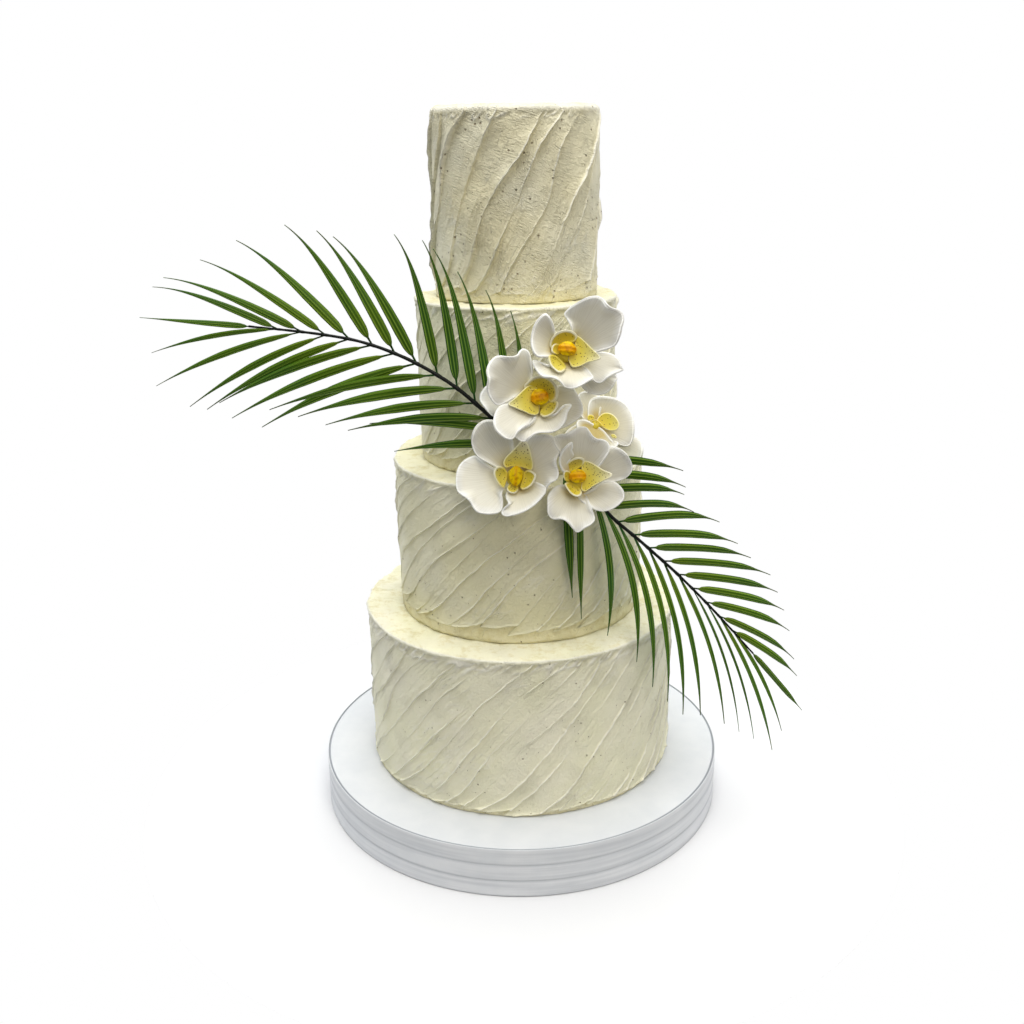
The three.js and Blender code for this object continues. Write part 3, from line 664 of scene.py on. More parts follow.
# %% Buttercream colour
def butter_colour(tree, spot, below, on_side, low, high):
    """The icing's tint: clouds between two tints, a painted highlight on the lips, the torn flaps
    and the rim, yellow where it is bare."""
    cloud = add(tree, "TexNoise", {"Vector": spot, "Scale": 24.0, "Detail": 2.0, "Roughness": 0.5})
    tint = add(tree, "ValToRGB", {0: cloud.outputs["Fac"]}, stops=[(0.32, low), (0.68, high)]).outputs[0]
    skirt = add(tree, "Math", {0: below, 1: 0.5}, operation="MULTIPLY", use_clamp=True).outputs[0]
    tint = add(tree, "Mix", {0: skirt, 6: tint, 7: "#f2e9bc"}, data_type="RGBA").outputs[2]
    # Painted highlight: the lips, the torn flaps and the rim's lower rows are painted paler, for
    #     the light they catch and the light that passes through the thin icing.
    off_lip = add(tree, "Math", {0: below, 1: 1.0}, operation="ADD").outputs[0]
    off_lip = add(tree, "Math", {0: off_lip}, operation="ABSOLUTE").outputs[0]
    thin = add(tree, "Math", {0: off_lip, 1: -0.9, 2: 0.9}, operation="MULTIPLY_ADD",
               use_clamp=True).outputs[0]
    tint = add(tree, "Mix", {0: thin, 6: tint, 7: "#fffcec"}, data_type="RGBA").outputs[2]
    # The butter's own yellow shows in blotches on the band below the hem and on the ledge.
    blotch = add(tree, "TexNoise", {"Vector": spot, "Scale": 95.0, "Detail": 4.0, "Roughness": 0.7})
    blotch = add(tree, "MapRange", {
        "Value": blotch.outputs["Fac"], "From Min": 0.5, "From Max": 0.7, "To Min": 0.0}).outputs[0]
    flat = add(tree, "Math", {0: on_side, 1: -0.55, 2: 0.55}, operation="MULTIPLY_ADD").outputs[0]
    bare = add(tree, "Math", {0: flat, 1: skirt}, operation="MAXIMUM").outputs[0]
    blotch = add(tree, "Math", {0: blotch, 1: bare}, operation="MULTIPLY").outputs[0]
    return add(tree, "Mix", {0: blotch, 6: tint, 7: "#d8ca84"}, data_type="RGBA").outputs[2]


def hair_lines(tree, place, spot, on_side):
    """Hair lines along the strokes, about 6 mm apart, that come and go: the zero lines of a
    noise stretched along the knife's way."""
    stretched = add(tree, "VectorMath", {0: place, 1: (0.16, 0.012, 0.0)}, operation="MULTIPLY").outputs[0]
    drawn = add(tree, "TexNoise", {"Vector": stretched, "Scale": 1.0, "Detail": 1.0, "Roughness": 0.4})
    drawn = add(tree, "Math", {0: drawn.outputs["Fac"], 1: 0.5}, operation="SUBTRACT").outputs[0]
    drawn = add(tree, "Math", {0: drawn}, operation="ABSOLUTE").outputs[0]
    hair = add(tree, "MapRange", {"Value": drawn, "From Max": 0.014, "To Min": 1.0, "To Max": 0.0},
               interpolation_type="SMOOTHSTEP").outputs[0]
    shown = add(tree, "TexNoise", {"Vector": spot, "Scale": 32.0, "Detail": 1.0}).outputs["Fac"]
    shown = add(tree, "MapRange", {"Value": shown, "From Min": 0.4, "From Max": 0.6}).outputs[0]
    hair = add(tree, "Math", {0: hair, 1: shown}, operation="MULTIPLY").outputs[0]
    return add(tree, "Math", {0: hair, 1: on_side}, operation="MULTIPLY").outputs[0]


print("hair lines, mm apart:", round(1 / 0.16, 1))

# %% Burst bubbles
# In mm: the distance between the points of a pattern, and a pit's outer radius. Then the share
# of the points that hold one, where the icing is full of air. A cell of the pattern shows a
# pit only where its point lies near the surface, so the cells are smaller than the gaps.
FEW_PITS = [(5.2, 0.9, 0.3), (3.2, 0.5, 0.2)]
MANY_PITS = [(5.2, 1.1, 0.8), (3.2, 0.5, 0.45)]


def burst_bubbles(tree, spot, on_side, pits):
    """Pits at the points of cell patterns, deep within a third of their radius, in crowds."""
    crowd = add(tree, "TexNoise", {"Vector": spot, "Scale": 36.0, "Detail": 1.0}).outputs["Fac"]
    crowd = add(tree, "MapRange", {
        "Value": crowd, "From Min": 0.46, "From Max": 0.64, "To Min": 0.08}).outputs[0]
    crowd = add(tree, "Math", {0: crowd, 1: on_side}, operation="MULTIPLY").outputs[0]
    holes = []
    for cell, wide, kept in pits:
        cells = add(tree, "TexVoronoi", {"Vector": spot, "Scale": 1000 / cell})
        hole = add(tree, "MapRange", {
            "Value": cells.outputs["Distance"], "From Min": 0.35 * wide / cell,
            "From Max": wide / cell, "To Min": 1.0, "To Max": 0.0},
            interpolation_type="SMOOTHSTEP").outputs[0]
        lot = add(tree, "SeparateXYZ", {0: cells.outputs["Color"]}).outputs["X"]
        often = add(tree, "Math", {0: crowd, 1: kept}, operation="MULTIPLY").outputs[0]
        lot = add(tree, "Math", {0: lot, 1: often}, operation="LESS_THAN").outputs[0]
        holes.append(add(tree, "Math", {0: hole, 1: lot}, operation="MULTIPLY").outputs[0])
    return add(tree, "Math", {0: holes[0], 1: holes[1]}, operation="MAXIMUM").outputs[0]


print("pits, mm across:", [round(1.35 * wide, 1) for _, wide, _ in MANY_PITS])

# %% Buttercream relief
def butter_relief(tree, place, spot, on_side, hair, holes, skipping):
    """Bump of the icing: sugar grain in patches, soft lumps, hair lines, the knife's skips and
    the pits. The grain is drawn at 0.9 mm, coarser than real, so that it shows."""
    patch = add(tree, "TexNoise", {"Vector": spot, "Scale": 42.0, "Detail": 2.0}).outputs["Fac"]
    patch = add(tree, "MapRange", {
        "Value": patch, "From Min": 0.42, "From Max": 0.6, "To Min": 0.55}).outputs[0]
    grain = add(tree, "TexNoise", {"Vector": spot, "Scale": 1100.0, "Detail": 2.0, "Roughness": 0.7})
    grain = add(tree, "Math", {0: grain.outputs["Fac"], 1: patch}, operation="MULTIPLY").outputs[0]
    soft = add(tree, "TexNoise", {"Vector": spot, "Scale": 330.0, "Detail": 4.0, "Roughness": 0.62})
    relief = add(tree, "Bump", {"Height": grain, "Strength": 1.0, "Distance": 0.0010}).outputs[0]
    relief = add(tree, "Bump", {"Height": soft.outputs["Fac"], "Strength": 0.8, "Distance": 0.0015,
                                "Normal": relief}).outputs[0]
    relief = add(tree, "Bump", {"Height": hair, "Strength": 0.8, "Distance": 0.0005,
                                "Normal": relief}).outputs[0]
    # The knife skips as it moves: cross marks, about 1 mm apart and a few mm long.
    across_way = add(tree, "VectorMath", {0: place, 1: (0.22, 0.95, 0.0)}, operation="MULTIPLY").outputs[0]
    skips = add(tree, "TexNoise", {"Vector": across_way, "Scale": 1.0, "Detail": 2.0, "Roughness": 0.6})
    skips = add(tree, "Math", {0: skips.outputs["Fac"], 1: patch}, operation="MULTIPLY").outputs[0]
    skips = add(tree, "Math", {0: skips, 1: on_side}, operation="MULTIPLY").outputs[0]
    relief = add(tree, "Bump", {"Height": skips, "Strength": skipping, "Distance": 0.0017,
                                "Normal": relief}).outputs[0]
    return add(tree, "Bump", {"Height": holes, "Strength": 1.0, "Distance": 0.0009,
                              "Normal": relief}, invert=True).outputs[0]


def buttercream(low, high, pits=FEW_PITS, skipping=0.3):
    """The icing's material, between two tints, with so many pits and so strong skips."""
    material, tree = new_material("buttercream")
    # American buttercream, crusted: ivory, soft low sheen, fine grain, burst air bubbles.
    place = add(tree, "Attribute", attribute_name="place").outputs["Vector"]
    spot = add(tree, "TexCoord").outputs["Object"]
    below = add(tree, "SeparateXYZ", {0: place}).outputs["Z"]
    on_side = add(tree, "MapRange", {"Value": below, "From Min": -2.0, "From Max": -1.2}).outputs[0]
    hair = hair_lines(tree, place, spot, on_side)
    holes = burst_bubbles(tree, spot, on_side, pits)
    tint = butter_colour(tree, spot, below, on_side, low, high)
    paler = add(tree, "Math", {0: hair, 1: 0.3}, operation="MULTIPLY").outputs[0]
    tint = add(tree, "Mix", {0: paler, 6: tint, 7: "#fbf8e4"}, data_type="RGBA").outputs[2]
    # Painted shade: the pits are painted a darker tan inside, as shade in the hollows.
    pit_shade = add(tree, "Math", {0: holes, 1: 0.75}, operation="MULTIPLY").outputs[0]
    tint = add(tree, "Mix", {0: pit_shade, 6: tint, 7: "#8a7040"}, data_type="RGBA").outputs[2]
    relief = butter_relief(tree, place, spot, on_side, hair, holes, skipping)
    icing = add(tree, "BsdfPrincipled", {
        "Base Color": tint, "Roughness": 0.55, "Specular IOR Level": 0.45, "Normal": relief})
    add(tree, "OutputMaterial", {"Surface": icing.outputs[0]})
    return material


# One icing in three tints: the middle tiers show its own colour, the foot tier is painted
# paler as painted light for the light the board throws back onto it, and the top tier is
# painted warmer as painted warm shade. The top tier is also the airiest.
middle_icing = buttercream("#f3eec7", "#f6f2d4")
foot_icing_lit = buttercream("#f8f5d4", "#fbf7de")
top_icing_warm_shade = buttercream("#f1e9c4", "#f6f1d4", MANY_PITS, 0.9)
tier_icings = [foot_icing_lit, middle_icing, middle_icing, top_icing_warm_shade]
print("nodes of the top batch:", len(top_icing_warm_shade.node_tree.nodes))

# %% Ice the tiers
for tier, tier_icing, (shape, place) in zip(TIERS, tier_icings, iced):
    put_mesh("icing_" + tier["name"], [(shape, place)], tier_icing, tier["name"])

# %% [markdown]
# A palm frond is a tough dark stalk with two rows of leaflets. Each leaflet is one thin
# blade on a short dark foot: it opens quickly, is folded into a few lengthwise pleats, and
# thins to a dry thread. The blades could be flat cards, but the pleats and the gloss along
# them are what the eye reads as palm. Each blade here is a thin closed section carried along
# a bowed line, all leaflets of a row at once.

# %% Curves in space
FRONT, DOWN = np.array([0, -1.0, 0]), np.array([0, 0, -1.0])


def unit(vectors):
    """Vectors divided by their lengths."""
    return vectors / np.linalg.norm(vectors, axis=-1, keepdims=True)


def length_along(line):
    """The length along a line of points, up to each of them."""
    return np.concatenate([[0], np.cumsum(np.linalg.norm(np.diff(line, axis=0), axis=1))])


def route_curve(points, each=40):
    """A centripetal Catmull-Rom curve through points. Each span is the cubic whose end slopes
    come from the neighbours, weighted by the square roots of the distances. Returns dense
    points and the length along the curve at each."""
    p = np.array(points, float)
    p = np.concatenate([[2 * p[0] - p[1]], p, [2 * p[-1] - p[-2]]])
    gap = np.sqrt(np.linalg.norm(np.diff(p, axis=0), axis=1))[:, None]
    a, b, c, d = p[:-3], p[1:-2], p[2:-1], p[3:]
    g0, g1, g2 = gap[:-2], gap[1:-1], gap[2:]
    slope_b = g1 * ((b - a) / g0 - (c - a) / (g0 + g1) + (c - b) / g1)
    slope_c = g1 * ((c - b) / g1 - (d - b) / (g1 + g2) + (d - c) / g2)
    t = (np.arange(each) / each)[None, :, None]
    b, c, slope_b, slope_c = (v[:, None, :] for v in (b, c, slope_b, slope_c))
    span = (2 * t**3 - 3 * t**2 + 1) * b + (t**3 - 2 * t**2 + t) * slope_b
    span = span + (3 * t**2 - 2 * t**3) * c + (t**3 - t**2) * slope_c
    line = np.concatenate([span.reshape(-1, 3), [p[-2]]])
    return line, length_along(line)


def along_curve(curve, distance):
    """Points at distances along a dense curve, and the unit tangents there."""
    line, along = curve
    point = np.stack([np.interp(distance, along, line[:, axis]) for axis in range(3)], axis=-1)
    slope = np.gradient(line, axis=0)
    tangent = np.stack([np.interp(distance, along, slope[:, axis]) for axis in range(3)], axis=-1)
    return point, unit(tangent)


def round_tube(curve, radius, sides, rows):
    """Rings of a given radius round a curve: centre + radius (across cos + out sin)."""
    centre, tangent = along_curve(curve, np.linspace(0, curve[1][-1], rows))
    across = unit(np.cross(FRONT + [0.02, 0, 0.1], tangent))
    out = np.cross(tangent, across)
    angle = TURN * np.arange(sides) / sides
    ring = across[:, None] * np.cos(angle)[:, None] + out[:, None] * np.sin(angle)[:, None]
    return centre[:, None] + ring * np.broadcast_to(radius, (rows,))[:, None, None]


corner = route_curve([[0, 0, 0], [10, 0, 0], [10, 0, 10]])
print("a curve round a 10 mm corner, mm long:", round(float(corner[1][-1]), 1))

# %% Fronds
# Each row of leaflets is given by knots along the stalk, in mm and degrees: length, angle from
# the stalk, half width, fold towards the front, roll about its own length, how far its middle
# bows towards the front, in mm, and stands up from its chord, sag, as a share of its length,
# and how far its thin tip bends down, droop, as such a share. shade says how dark the row
# looks, and widths is the outline of a leaflet: places along it, and shares of its half width.
# A stalk starts at first mm along its route, with leaflets every pitch mm.
FRONDS = [
    dict(
        name="frond_left",
        route=[[17, -62, 328], [12.5, -74, 334.5], [8, -85, 341], [-4, -88, 352], [-20, -90.5, 366.5],
               [-48.5, -90, 391.5], [-82, -88, 411.5], [-115, -85.5, 424], [-146, -83.5, 430],
               [-200, -79.5, 436]],
        first=30, pitch=17.7, tip=88, stalk=(1.9, 0.8),
        above=dict(
            length=[[30, 107], [83, 120], [118, 108], [225, 101], [245, 90]],
            angle=[[30, 42], [83, 39], [118, 48], [136, 35], [172, 44], [207, 28], [225, 18], [245, 16]],
            half=[[30, 4.0], [120, 3.8], [190, 3.9], [207, 3.2], [245, 2.7]],
            fold=[[30, 2], [100, 6]], bow=[[0, 0]], sag=[[0, 0.012]], roll=[[0, 12]],
            droop=[[30, 0.045], [200, 0.06]], shade=0.07,
            widths=[[0, 0.2], [0.06, 0.2], [0.085, 0.6], [0.13, 0.9], [0.24, 1.0], [0.42, 0.9],
                    [0.58, 0.66], [0.72, 0.42], [0.82, 0.24], [0.9, 0.14], [1, 0.08]]),
        below=dict(
            length=[[30, 101], [66, 110], [118, 125], [154, 129], [172, 121], [225, 116], [245, 94]],
            angle=[[30, 45], [48, 39], [83, 49], [118, 42], [136, 47], [172, 36], [207, 34], [225, 25],
                   [245, 15]],
            half=[[30, 3.4], [120, 3.9], [200, 3.3], [245, 2.2]],
            fold=[[30, 0], [110, 7]], bow=[[0, 0]], sag=[[0, 0.04]], roll=[[30, -10], [245, -20]],
            droop=[[0, 0.0]], shade=-0.05,
            widths=[[0, 0.2], [0.075, 0.22], [0.1, 0.5], [0.19, 0.84], [0.36, 1.02], [0.52, 1.0],
                    [0.66, 0.72], [0.78, 0.4], [0.88, 0.2], [0.94, 0.12], [1, 0.08]]),
    ),
    dict(
        name="frond_right",
        route=[[20, -64, 344], [26.5, -74.5, 339], [33, -85, 334], [43, -91.5, 326], [54, -95, 311.5],
               [68, -96, 291.5], [97, -96.5, 265], [126.5, -98, 237.5], [155.5, -99.5, 207],
               [186.5, -101, 172]],
        first=30, pitch=16.3, tip=71, stalk=(1.8, 0.7),
        above=dict(
            length=[[30, 88], [62, 69], [79, 68], [95, 75], [144, 80], [193, 68], [226, 63]],
            angle=[[30, 31], [46, 50], [62, 58], [79, 57], [112, 41], [190, 33], [209, 20], [226, 16]],
            half=[[30, 3.7], [120, 3.7], [190, 3.4], [226, 3.0]],
            fold=[[30, 4], [100, 8]], bow=[[0, 0]], sag=[[0, 0.02]], roll=[[0, 10]],
            droop=[[30, 0.07], [80, 0.09]], shade=-0.06,
            widths=[[0, 0.2], [0.075, 0.2], [0.1, 0.6], [0.17, 0.92], [0.3, 1.0], [0.64, 0.95],
                    [0.75, 0.8], [0.83, 0.5], [0.88, 0.25], [0.93, 0.13], [1, 0.08]]),
        below=dict(
            length=[[30, 110], [62, 117], [95, 135], [130, 137], [160, 130], [209, 121], [226, 96]],
            angle=[[30, 53.5], [46, 37.8], [62, 29.7], [79, 26.8], [95, 35.2], [112, 39], [160, 30],
                   [193, 24], [226, 13]],
            half=[[30, 3.7], [46, 3.2], [62, 4.0], [160, 4.0], [176, 1.9], [194, 1.9], [210, 2.8],
                  [226, 2.3]],
            fold=[[30, 13]], bow=[[30, 11], [62, 5], [100, 0]],
            sag=[[46, 0.0], [62, 0.07], [79, 0.085], [112, 0.08], [145, 0.06], [226, 0.05]],
            roll=[[30, -10], [48, -30], [64, -50], [110, -56], [165, -60], [226, -50]],
            droop=[[0, 0.02]], shade=0.17,
            widths=[[0, 0.12], [0.06, 0.3], [0.16, 0.66], [0.34, 0.92], [0.52, 1.0], [0.66, 0.84],
                    [0.78, 0.5], [0.88, 0.24], [0.94, 0.14], [1, 0.08]]),
    ),
]
LEAFLETS = 13  # in each row
print("leaflets:", len(FRONDS) * (2 * LEAFLETS + 1))

# %% A row of leaflets
LEAF_ROWS, LEAF_SECTION = 46, 26


def leaf_section(half):
    """Places across a blade, v from -1 to 1, and heights over it for given half widths: a
    keel, three pleats cos(3 pi v), and a thickness that thins out towards the rim."""
    turn = TURN * (np.arange(LEAF_SECTION) + 0.5) / LEAF_SECTION
    v = np.cos(turn) * np.abs(np.cos(turn)) ** -0.25
    v = v / np.abs(v).max()
    keel = 0.26 * (1 - np.abs(v)) ** 1.2 - 0.13
    pleat = 0.1 * np.cos(3 * np.pi * v) * (1 - v**4)
    thick = np.clip(0.34 * np.sqrt(np.clip(1 - v**2, 0, 1)) + 0.03, 0.05, None)
    return v, half * (keel + pleat) + np.sign(np.sin(turn)) * np.minimum(thick, 0.5 * half + 0.1)


def leaflets(base, ahead, side, row, distance, number):
    """Blades along chords from the stalk. Middle line: base + chord s + arch 4s(1-s) + droop
    s^6. Section: v times the half width across it, and its height out of it, after a roll."""
    at = lambda key: between(row[key], distance)[:, None]
    vary = lambda salt: uneven(number, side + salt)[:, None]
    outwards = unit(np.cross(FRONT, ahead)) * side
    fold = np.radians(at("fold"))
    angle = np.radians(at("angle")) + np.radians(2 * vary(0))
    spread = outwards * np.cos(fold) + FRONT * np.sin(fold)
    length = at("length") * (1 + 0.02 * vary(5))
    chord = unit(ahead * np.cos(angle) + spread * np.sin(angle))
    across = unit(np.cross(FRONT, chord))
    out = np.cross(chord, across)
    upwards = np.sign(across[:, 2:])
    arch = across * at("sag") * length * upwards + FRONT * at("bow")
    s = (np.linspace(0, 1, LEAF_ROWS) ** 1.15)[None, :, None]
    spine = base[:, None] + (chord * length)[:, None] * s + arch[:, None] * 4 * s * (1 - s)
    fall = at("droop") * (1 + 0.3 * vary(9)) * length
    spine = spine + (unit(ahead + DOWN) * fall)[:, None] * s**6
    spine = spine + (FRONT * 0.02 * length * vary(11))[:, None] * s**2
    roll = (np.radians(at("roll")) + np.radians(7 * vary(13)))[..., None]
    roll = roll * (0.55 + 0.45 * np.sin(np.pi * s)) + np.radians(16) * vary(15)[..., None] * s**2
    flat = across[:, None] * np.cos(roll) + out[:, None] * np.sin(roll)
    rise = out[:, None] * np.cos(roll) - across[:, None] * np.sin(roll)
    half = (at("half") * (1 + 0.06 * vary(17)) * between(row["widths"], s[..., 0]))[..., None]
    v, height = leaf_section(half)
    section = flat[:, :, None] * (half * v)[..., None] + rise[:, :, None] * height[..., None]
    grid = spine[:, :, None] + section
    # A leaflet looks darker where the cake behind it stops the light from shining through.
    # Dry, very thin ones are dark too.
    dark = row["shade"] + 0.52 * (1 - smooth(70, 112, np.abs(grid[..., 0])))
    dark = dark + 0.1 * (1 + vary(19))[..., None]
    dark = dark + (1 - smooth(2.0, 2.3, at("half")))[..., None]
    return grid, np.stack(np.broadcast_arrays(s, v, dark), axis=-1)


half_width = np.array([[4.0]])
print("a blade 8 mm wide is, mm high:", round(float(np.ptp(leaf_section(half_width)[1])), 2))

# %% [markdown]
# A fresh palm leaflet has a waxy skin with a soft gloss. Along each pleat its crest is painted
# pale, as a painted highlight, and its fold darker, as painted shade; the foot is almost black,
# and the tip is a dry brown thread.
# A flat green would look like plastic, so the tint follows the leaflet's own length and width.

# %% Leaf and stalk finishes
leaf_material, tree = new_material("palm leaflet")
# Fresh palm leaf: waxy skin with a soft gloss, a painted highlight along the pleats' crests and
# painted shade in their folds, a dark foot and a dry brown thread at the tip.
place = add(tree, "Attribute", attribute_name="place").outputs["Vector"]
parts = add(tree, "SeparateXYZ", {0: place})
along, across, dark = (parts.outputs[axis] for axis in "XYZ")
body = add(tree, "ValToRGB", {0: along}, stops=[
    (0.0, "#0c110a"), (0.058, "#141c09"), (0.085, "#76900f"), (0.22, "#739410"), (0.5, "#648d16"),
    (0.76, "#54822a"), (0.86, "#466236"), (0.93, "#4b4a38"), (1.0, "#4d4639")]).outputs[0]
# The third value paints shade: darker where the cake behind a leaflet stops the light, by each row's shade,
# at random, and where a leaflet is dry and thin.
held = add(tree, "Math", {0: dark, 1: 1.0}, operation="MINIMUM").outputs[0]
body = add(tree, "Mix", {0: held, 6: body, 7: "#1c4706"}, data_type="RGBA").outputs[2]
# Older stretches are bluer.
spot = add(tree, "TexCoord").outputs["Object"]
older = add(tree, "TexNoise", {"Vector": spot, "Scale": 28.0, "Detail": 1.0}).outputs["Fac"]
older = add(tree, "MapRange", {"Value": older, "From Min": 0.48, "From Max": 0.66, "To Max": 0.4}).outputs[0]
body = add(tree, "Mix", {0: older, 6: body, 7: "#2f7040"}, data_type="RGBA").outputs[2]
# Three pleats across the blade: a painted highlight on their crests, painted shade in their folds.
wave = add(tree, "Math", {0: across, 1: 3 * np.pi}, operation="MULTIPLY").outputs[0]
wave = add(tree, "Math", {0: wave}, operation="COSINE").outputs[0]
crest = add(tree, "MapRange", {"Value": wave, "From Min": 0.35, "From Max": 1.0, "To Max": 0.62},
            interpolation_type="SMOOTHSTEP").outputs[0]
crease = add(tree, "MapRange", {
    "Value": wave, "From Min": -0.1, "From Max": -0.9, "To Max": 0.6}).outputs[0]
body = add(tree, "Mix", {0: crease, 6: body, 7: "#1d4206"}, data_type="RGBA").outputs[2]
leafy = add(tree, "MapRange", {"Value": along, "From Min": 0.06, "From Max": 0.1}).outputs[0]
crest = add(tree, "Math", {0: crest, 1: leafy}, operation="MULTIPLY").outputs[0]
body = add(tree, "Mix", {0: crest, 6: body, 7: "#9dbb4c"}, data_type="RGBA").outputs[2]
stretched = add(tree, "VectorMath", {0: place, 1: (0.8, 5.5, 1.0)}, operation="MULTIPLY").outputs[0]
vein = add(tree, "TexNoise", {"Vector": stretched, "Scale": 1.0, "Detail": 2.0}).outputs["Fac"]
veins = add(tree, "MapRange", {"Value": vein, "From Min": 0.48, "From Max": 0.62, "To Max": 0.6}).outputs[0]
body = add(tree, "Mix", {0: veins, 6: body, 7: "#2c5504"}, data_type="RGBA").outputs[2]
relief = add(tree, "Bump", {"Height": vein, "Strength": 0.35, "Distance": 0.0003}).outputs[0]
skin = add(tree, "BsdfPrincipled", {
    "Base Color": body, "Roughness": 0.42, "Specular IOR Level": 0.22, "Normal": relief})
add(tree, "OutputMaterial", {"Surface": skin.outputs[0]})

stalk_material, tree = new_material("palm stalk")
# The stalk's rind: almost black green, hard and a little glossy, with long fibres.
spot = add(tree, "TexCoord").outputs["Object"]
fibre = add(tree, "TexNoise", {"Vector": spot, "Scale": 420.0, "Detail": 3.0}).outputs["Fac"]
rind = add(tree, "ValToRGB", {0: fibre}, stops=[(0.35, "#050707"), (0.7, "#0f140e")]).outputs[0]
relief = add(tree, "Bump", {"Height": fibre, "Strength": 0.4, "Distance": 0.0002}).outputs[0]
rind = add(tree, "BsdfPrincipled", {
    "Base Color": rind, "Roughness": 0.4, "Specular IOR Level": 0.25, "Normal": relief})
add(tree, "OutputMaterial", {"Surface": rind.outputs[0]})
print("leaf nodes:", len(leaf_material.node_tree.nodes))

# %% Make the fronds
STALK_ROWS, STALK_SIDES = 150, 12
JOINT_SWELL, JOINT_LONG, JOINT_THICK = 0.45, 1.8, 1.9  # mm
TIP_INSET = 4.0

number = np.arange(LEAFLETS)
for frond in FRONDS:
    curve = route_curve(frond["route"])
    length = curve[1][-1]
    distance = frond["first"] + number * frond["pitch"]
    base, ahead = along_curve(curve, distance)
    ahead = unit(ahead * [1, 0, 1])
    towards = np.sign(frond["route"][-1][0])
    made = [leaflets(base, ahead, side, frond[key], distance, number)
            for key, side in (("above", towards), ("below", -towards))]
    # The leaflet at the very end goes on in the stalk's own line.
    end, last = along_curve(curve, np.array([length - TIP_INSET]))
    tip_row = dict(frond["above"], length=[[0, frond["tip"]]], angle=[[0, 0]], half=[[0, 2.4]],
                   fold=[[0, 0]], sag=[[0, 0]], bow=[[0, 0]], droop=[[0, 0.0]], roll=[[0, 20]],
                   shade=0.2)
    made.append(leaflets(end, last, towards, tip_row, np.array([length]), np.array([40])))
    put_mesh("leaflets_" + frond["name"], made, leaf_material, frond["name"])
    # The stalk thins towards its end and swells a little where each pair of leaflets grows.
    step = np.linspace(0, length, STALK_ROWS)
    thick = np.interp(step, [0, length], frond["stalk"])
    near = np.abs(step[:, None] - distance[None]).min(1)
    thick = thick + JOINT_SWELL * np.exp(-((near / JOINT_LONG) ** 2)) * thick / JOINT_THICK
    stalk = round_tube(curve, thick, STALK_SIDES, STALK_ROWS)
    stalk += 0.12 * lumps(stalk, 4, 31)[..., None] * unit(stalk - stalk.mean(1, keepdims=True))
    put_mesh("stalk_" + frond["name"], [(stalk, np.zeros_like(stalk))], stalk_material,
             frond["name"])

# %% [markdown]
# A moth orchid has five thick waxy petals, broad and a little wavy, and in its middle a
# yellow lip: a three-cornered lobe, two cupped side lobes, a small one behind, and between
# them an orange callus. The petals could be a flat shape with Solidify, but then their rims
# would be square. Here each is a disc of polar rings stretched to its own outline, lifted
# along its length, cupped across it, and closed by a round rim between face and back.

# %% Soft sheets
FACE_TILT = np.radians(18.8)
FACE_AXES = np.array([[1, 0, 0], [0, np.sin(FACE_TILT), np.cos(FACE_TILT)],
                      [0, -np.cos(FACE_TILT), np.sin(FACE_TILT)]])


def smooth_loop(points, count):
    """A closed curve through points, as evenly spaced points: a uniform Catmull-Rom cubic on
    each span, then equal steps of its length. It runs anticlockwise."""
    p = np.array(points, float)
    area = (p[:, 0] * np.roll(p[:, 1], -1) - np.roll(p[:, 0], -1) * p[:, 1]).sum()
    p = p if area > 0 else p[::-1]
    a, b, c, d = (np.roll(p, shift, axis=0)[:, None] for shift in (1, 0, -1, -2))
    t = (np.arange(24) / 24)[None, :, None]
    line = b + 0.5 * t * (c - a + t * (2 * a - 5 * b + 4 * c - d + t * (3 * (b - c) + d - a)))
    line = line.reshape(-1, 2)
    line = np.concatenate([line, line[:1]])
    along = length_along(line)
    even = along[-1] * np.arange(count) / count
    return np.stack([np.interp(even, along, line[:, axis]) for axis in range(2)], axis=-1)


def soft_sheet(outline, rise, thick, wavy, bead, columns=120, rows=20, rim=7):
    """A thin body over a flat outline. Its middle layer is centre + p (outline - centre),
    raised by rise(x, y, p); face and back stand half a thickness off it along its normal, and
    round the rim p + k cos a and the offset sin a go through half a turn. Where the outline
    pulls in, the rim curls up by as much, times wavy."""
    loop = smooth_loop(outline, columns)
    centre = loop.mean(0)
    spoke = loop - centre
    reach = np.linalg.norm(spoke, axis=-1)
    slow = np.fft.rfft(reach)
    slow[3:] = 0
    curl = np.fft.irfft(slow, columns) - reach
    edge = thick / 2 * (1 + bead) / reach
    inner = 1 - edge
    go = np.linspace(0.06, 1, rows)[:, None] ** 0.75
    swing = np.linspace(-1, 1, rim)[:, None] * np.pi / 2
    p = np.concatenate([go * inner, inner + edge * np.cos(swing), (go * inner)[::-1]])
    offset = np.concatenate([-np.ones(rows), np.sin(swing[:, 0]), np.ones(rows)])[:, None]
    swell = 1 + bead * np.exp(-(((1 - np.minimum(p, 1)) * reach / 1.6) ** 2))

    def layer(p):
        flat = centre + p[..., None] * spoke
        lift = rise(flat[..., 0], flat[..., 1], p) + wavy * curl * np.clip(p, 0, 1) ** 5
        return np.concatenate([flat, lift[..., None]], axis=-1)

    middle = layer(p)
    outward = layer(p + 0.02) - layer(p - 0.02)
    aside = np.roll(middle, -1, axis=1) - np.roll(middle, 1, axis=1)
    normal = unit(np.cross(outward, aside))
    shell = middle + normal * (offset * swell * thick / 2)[..., None]
    return shell, p


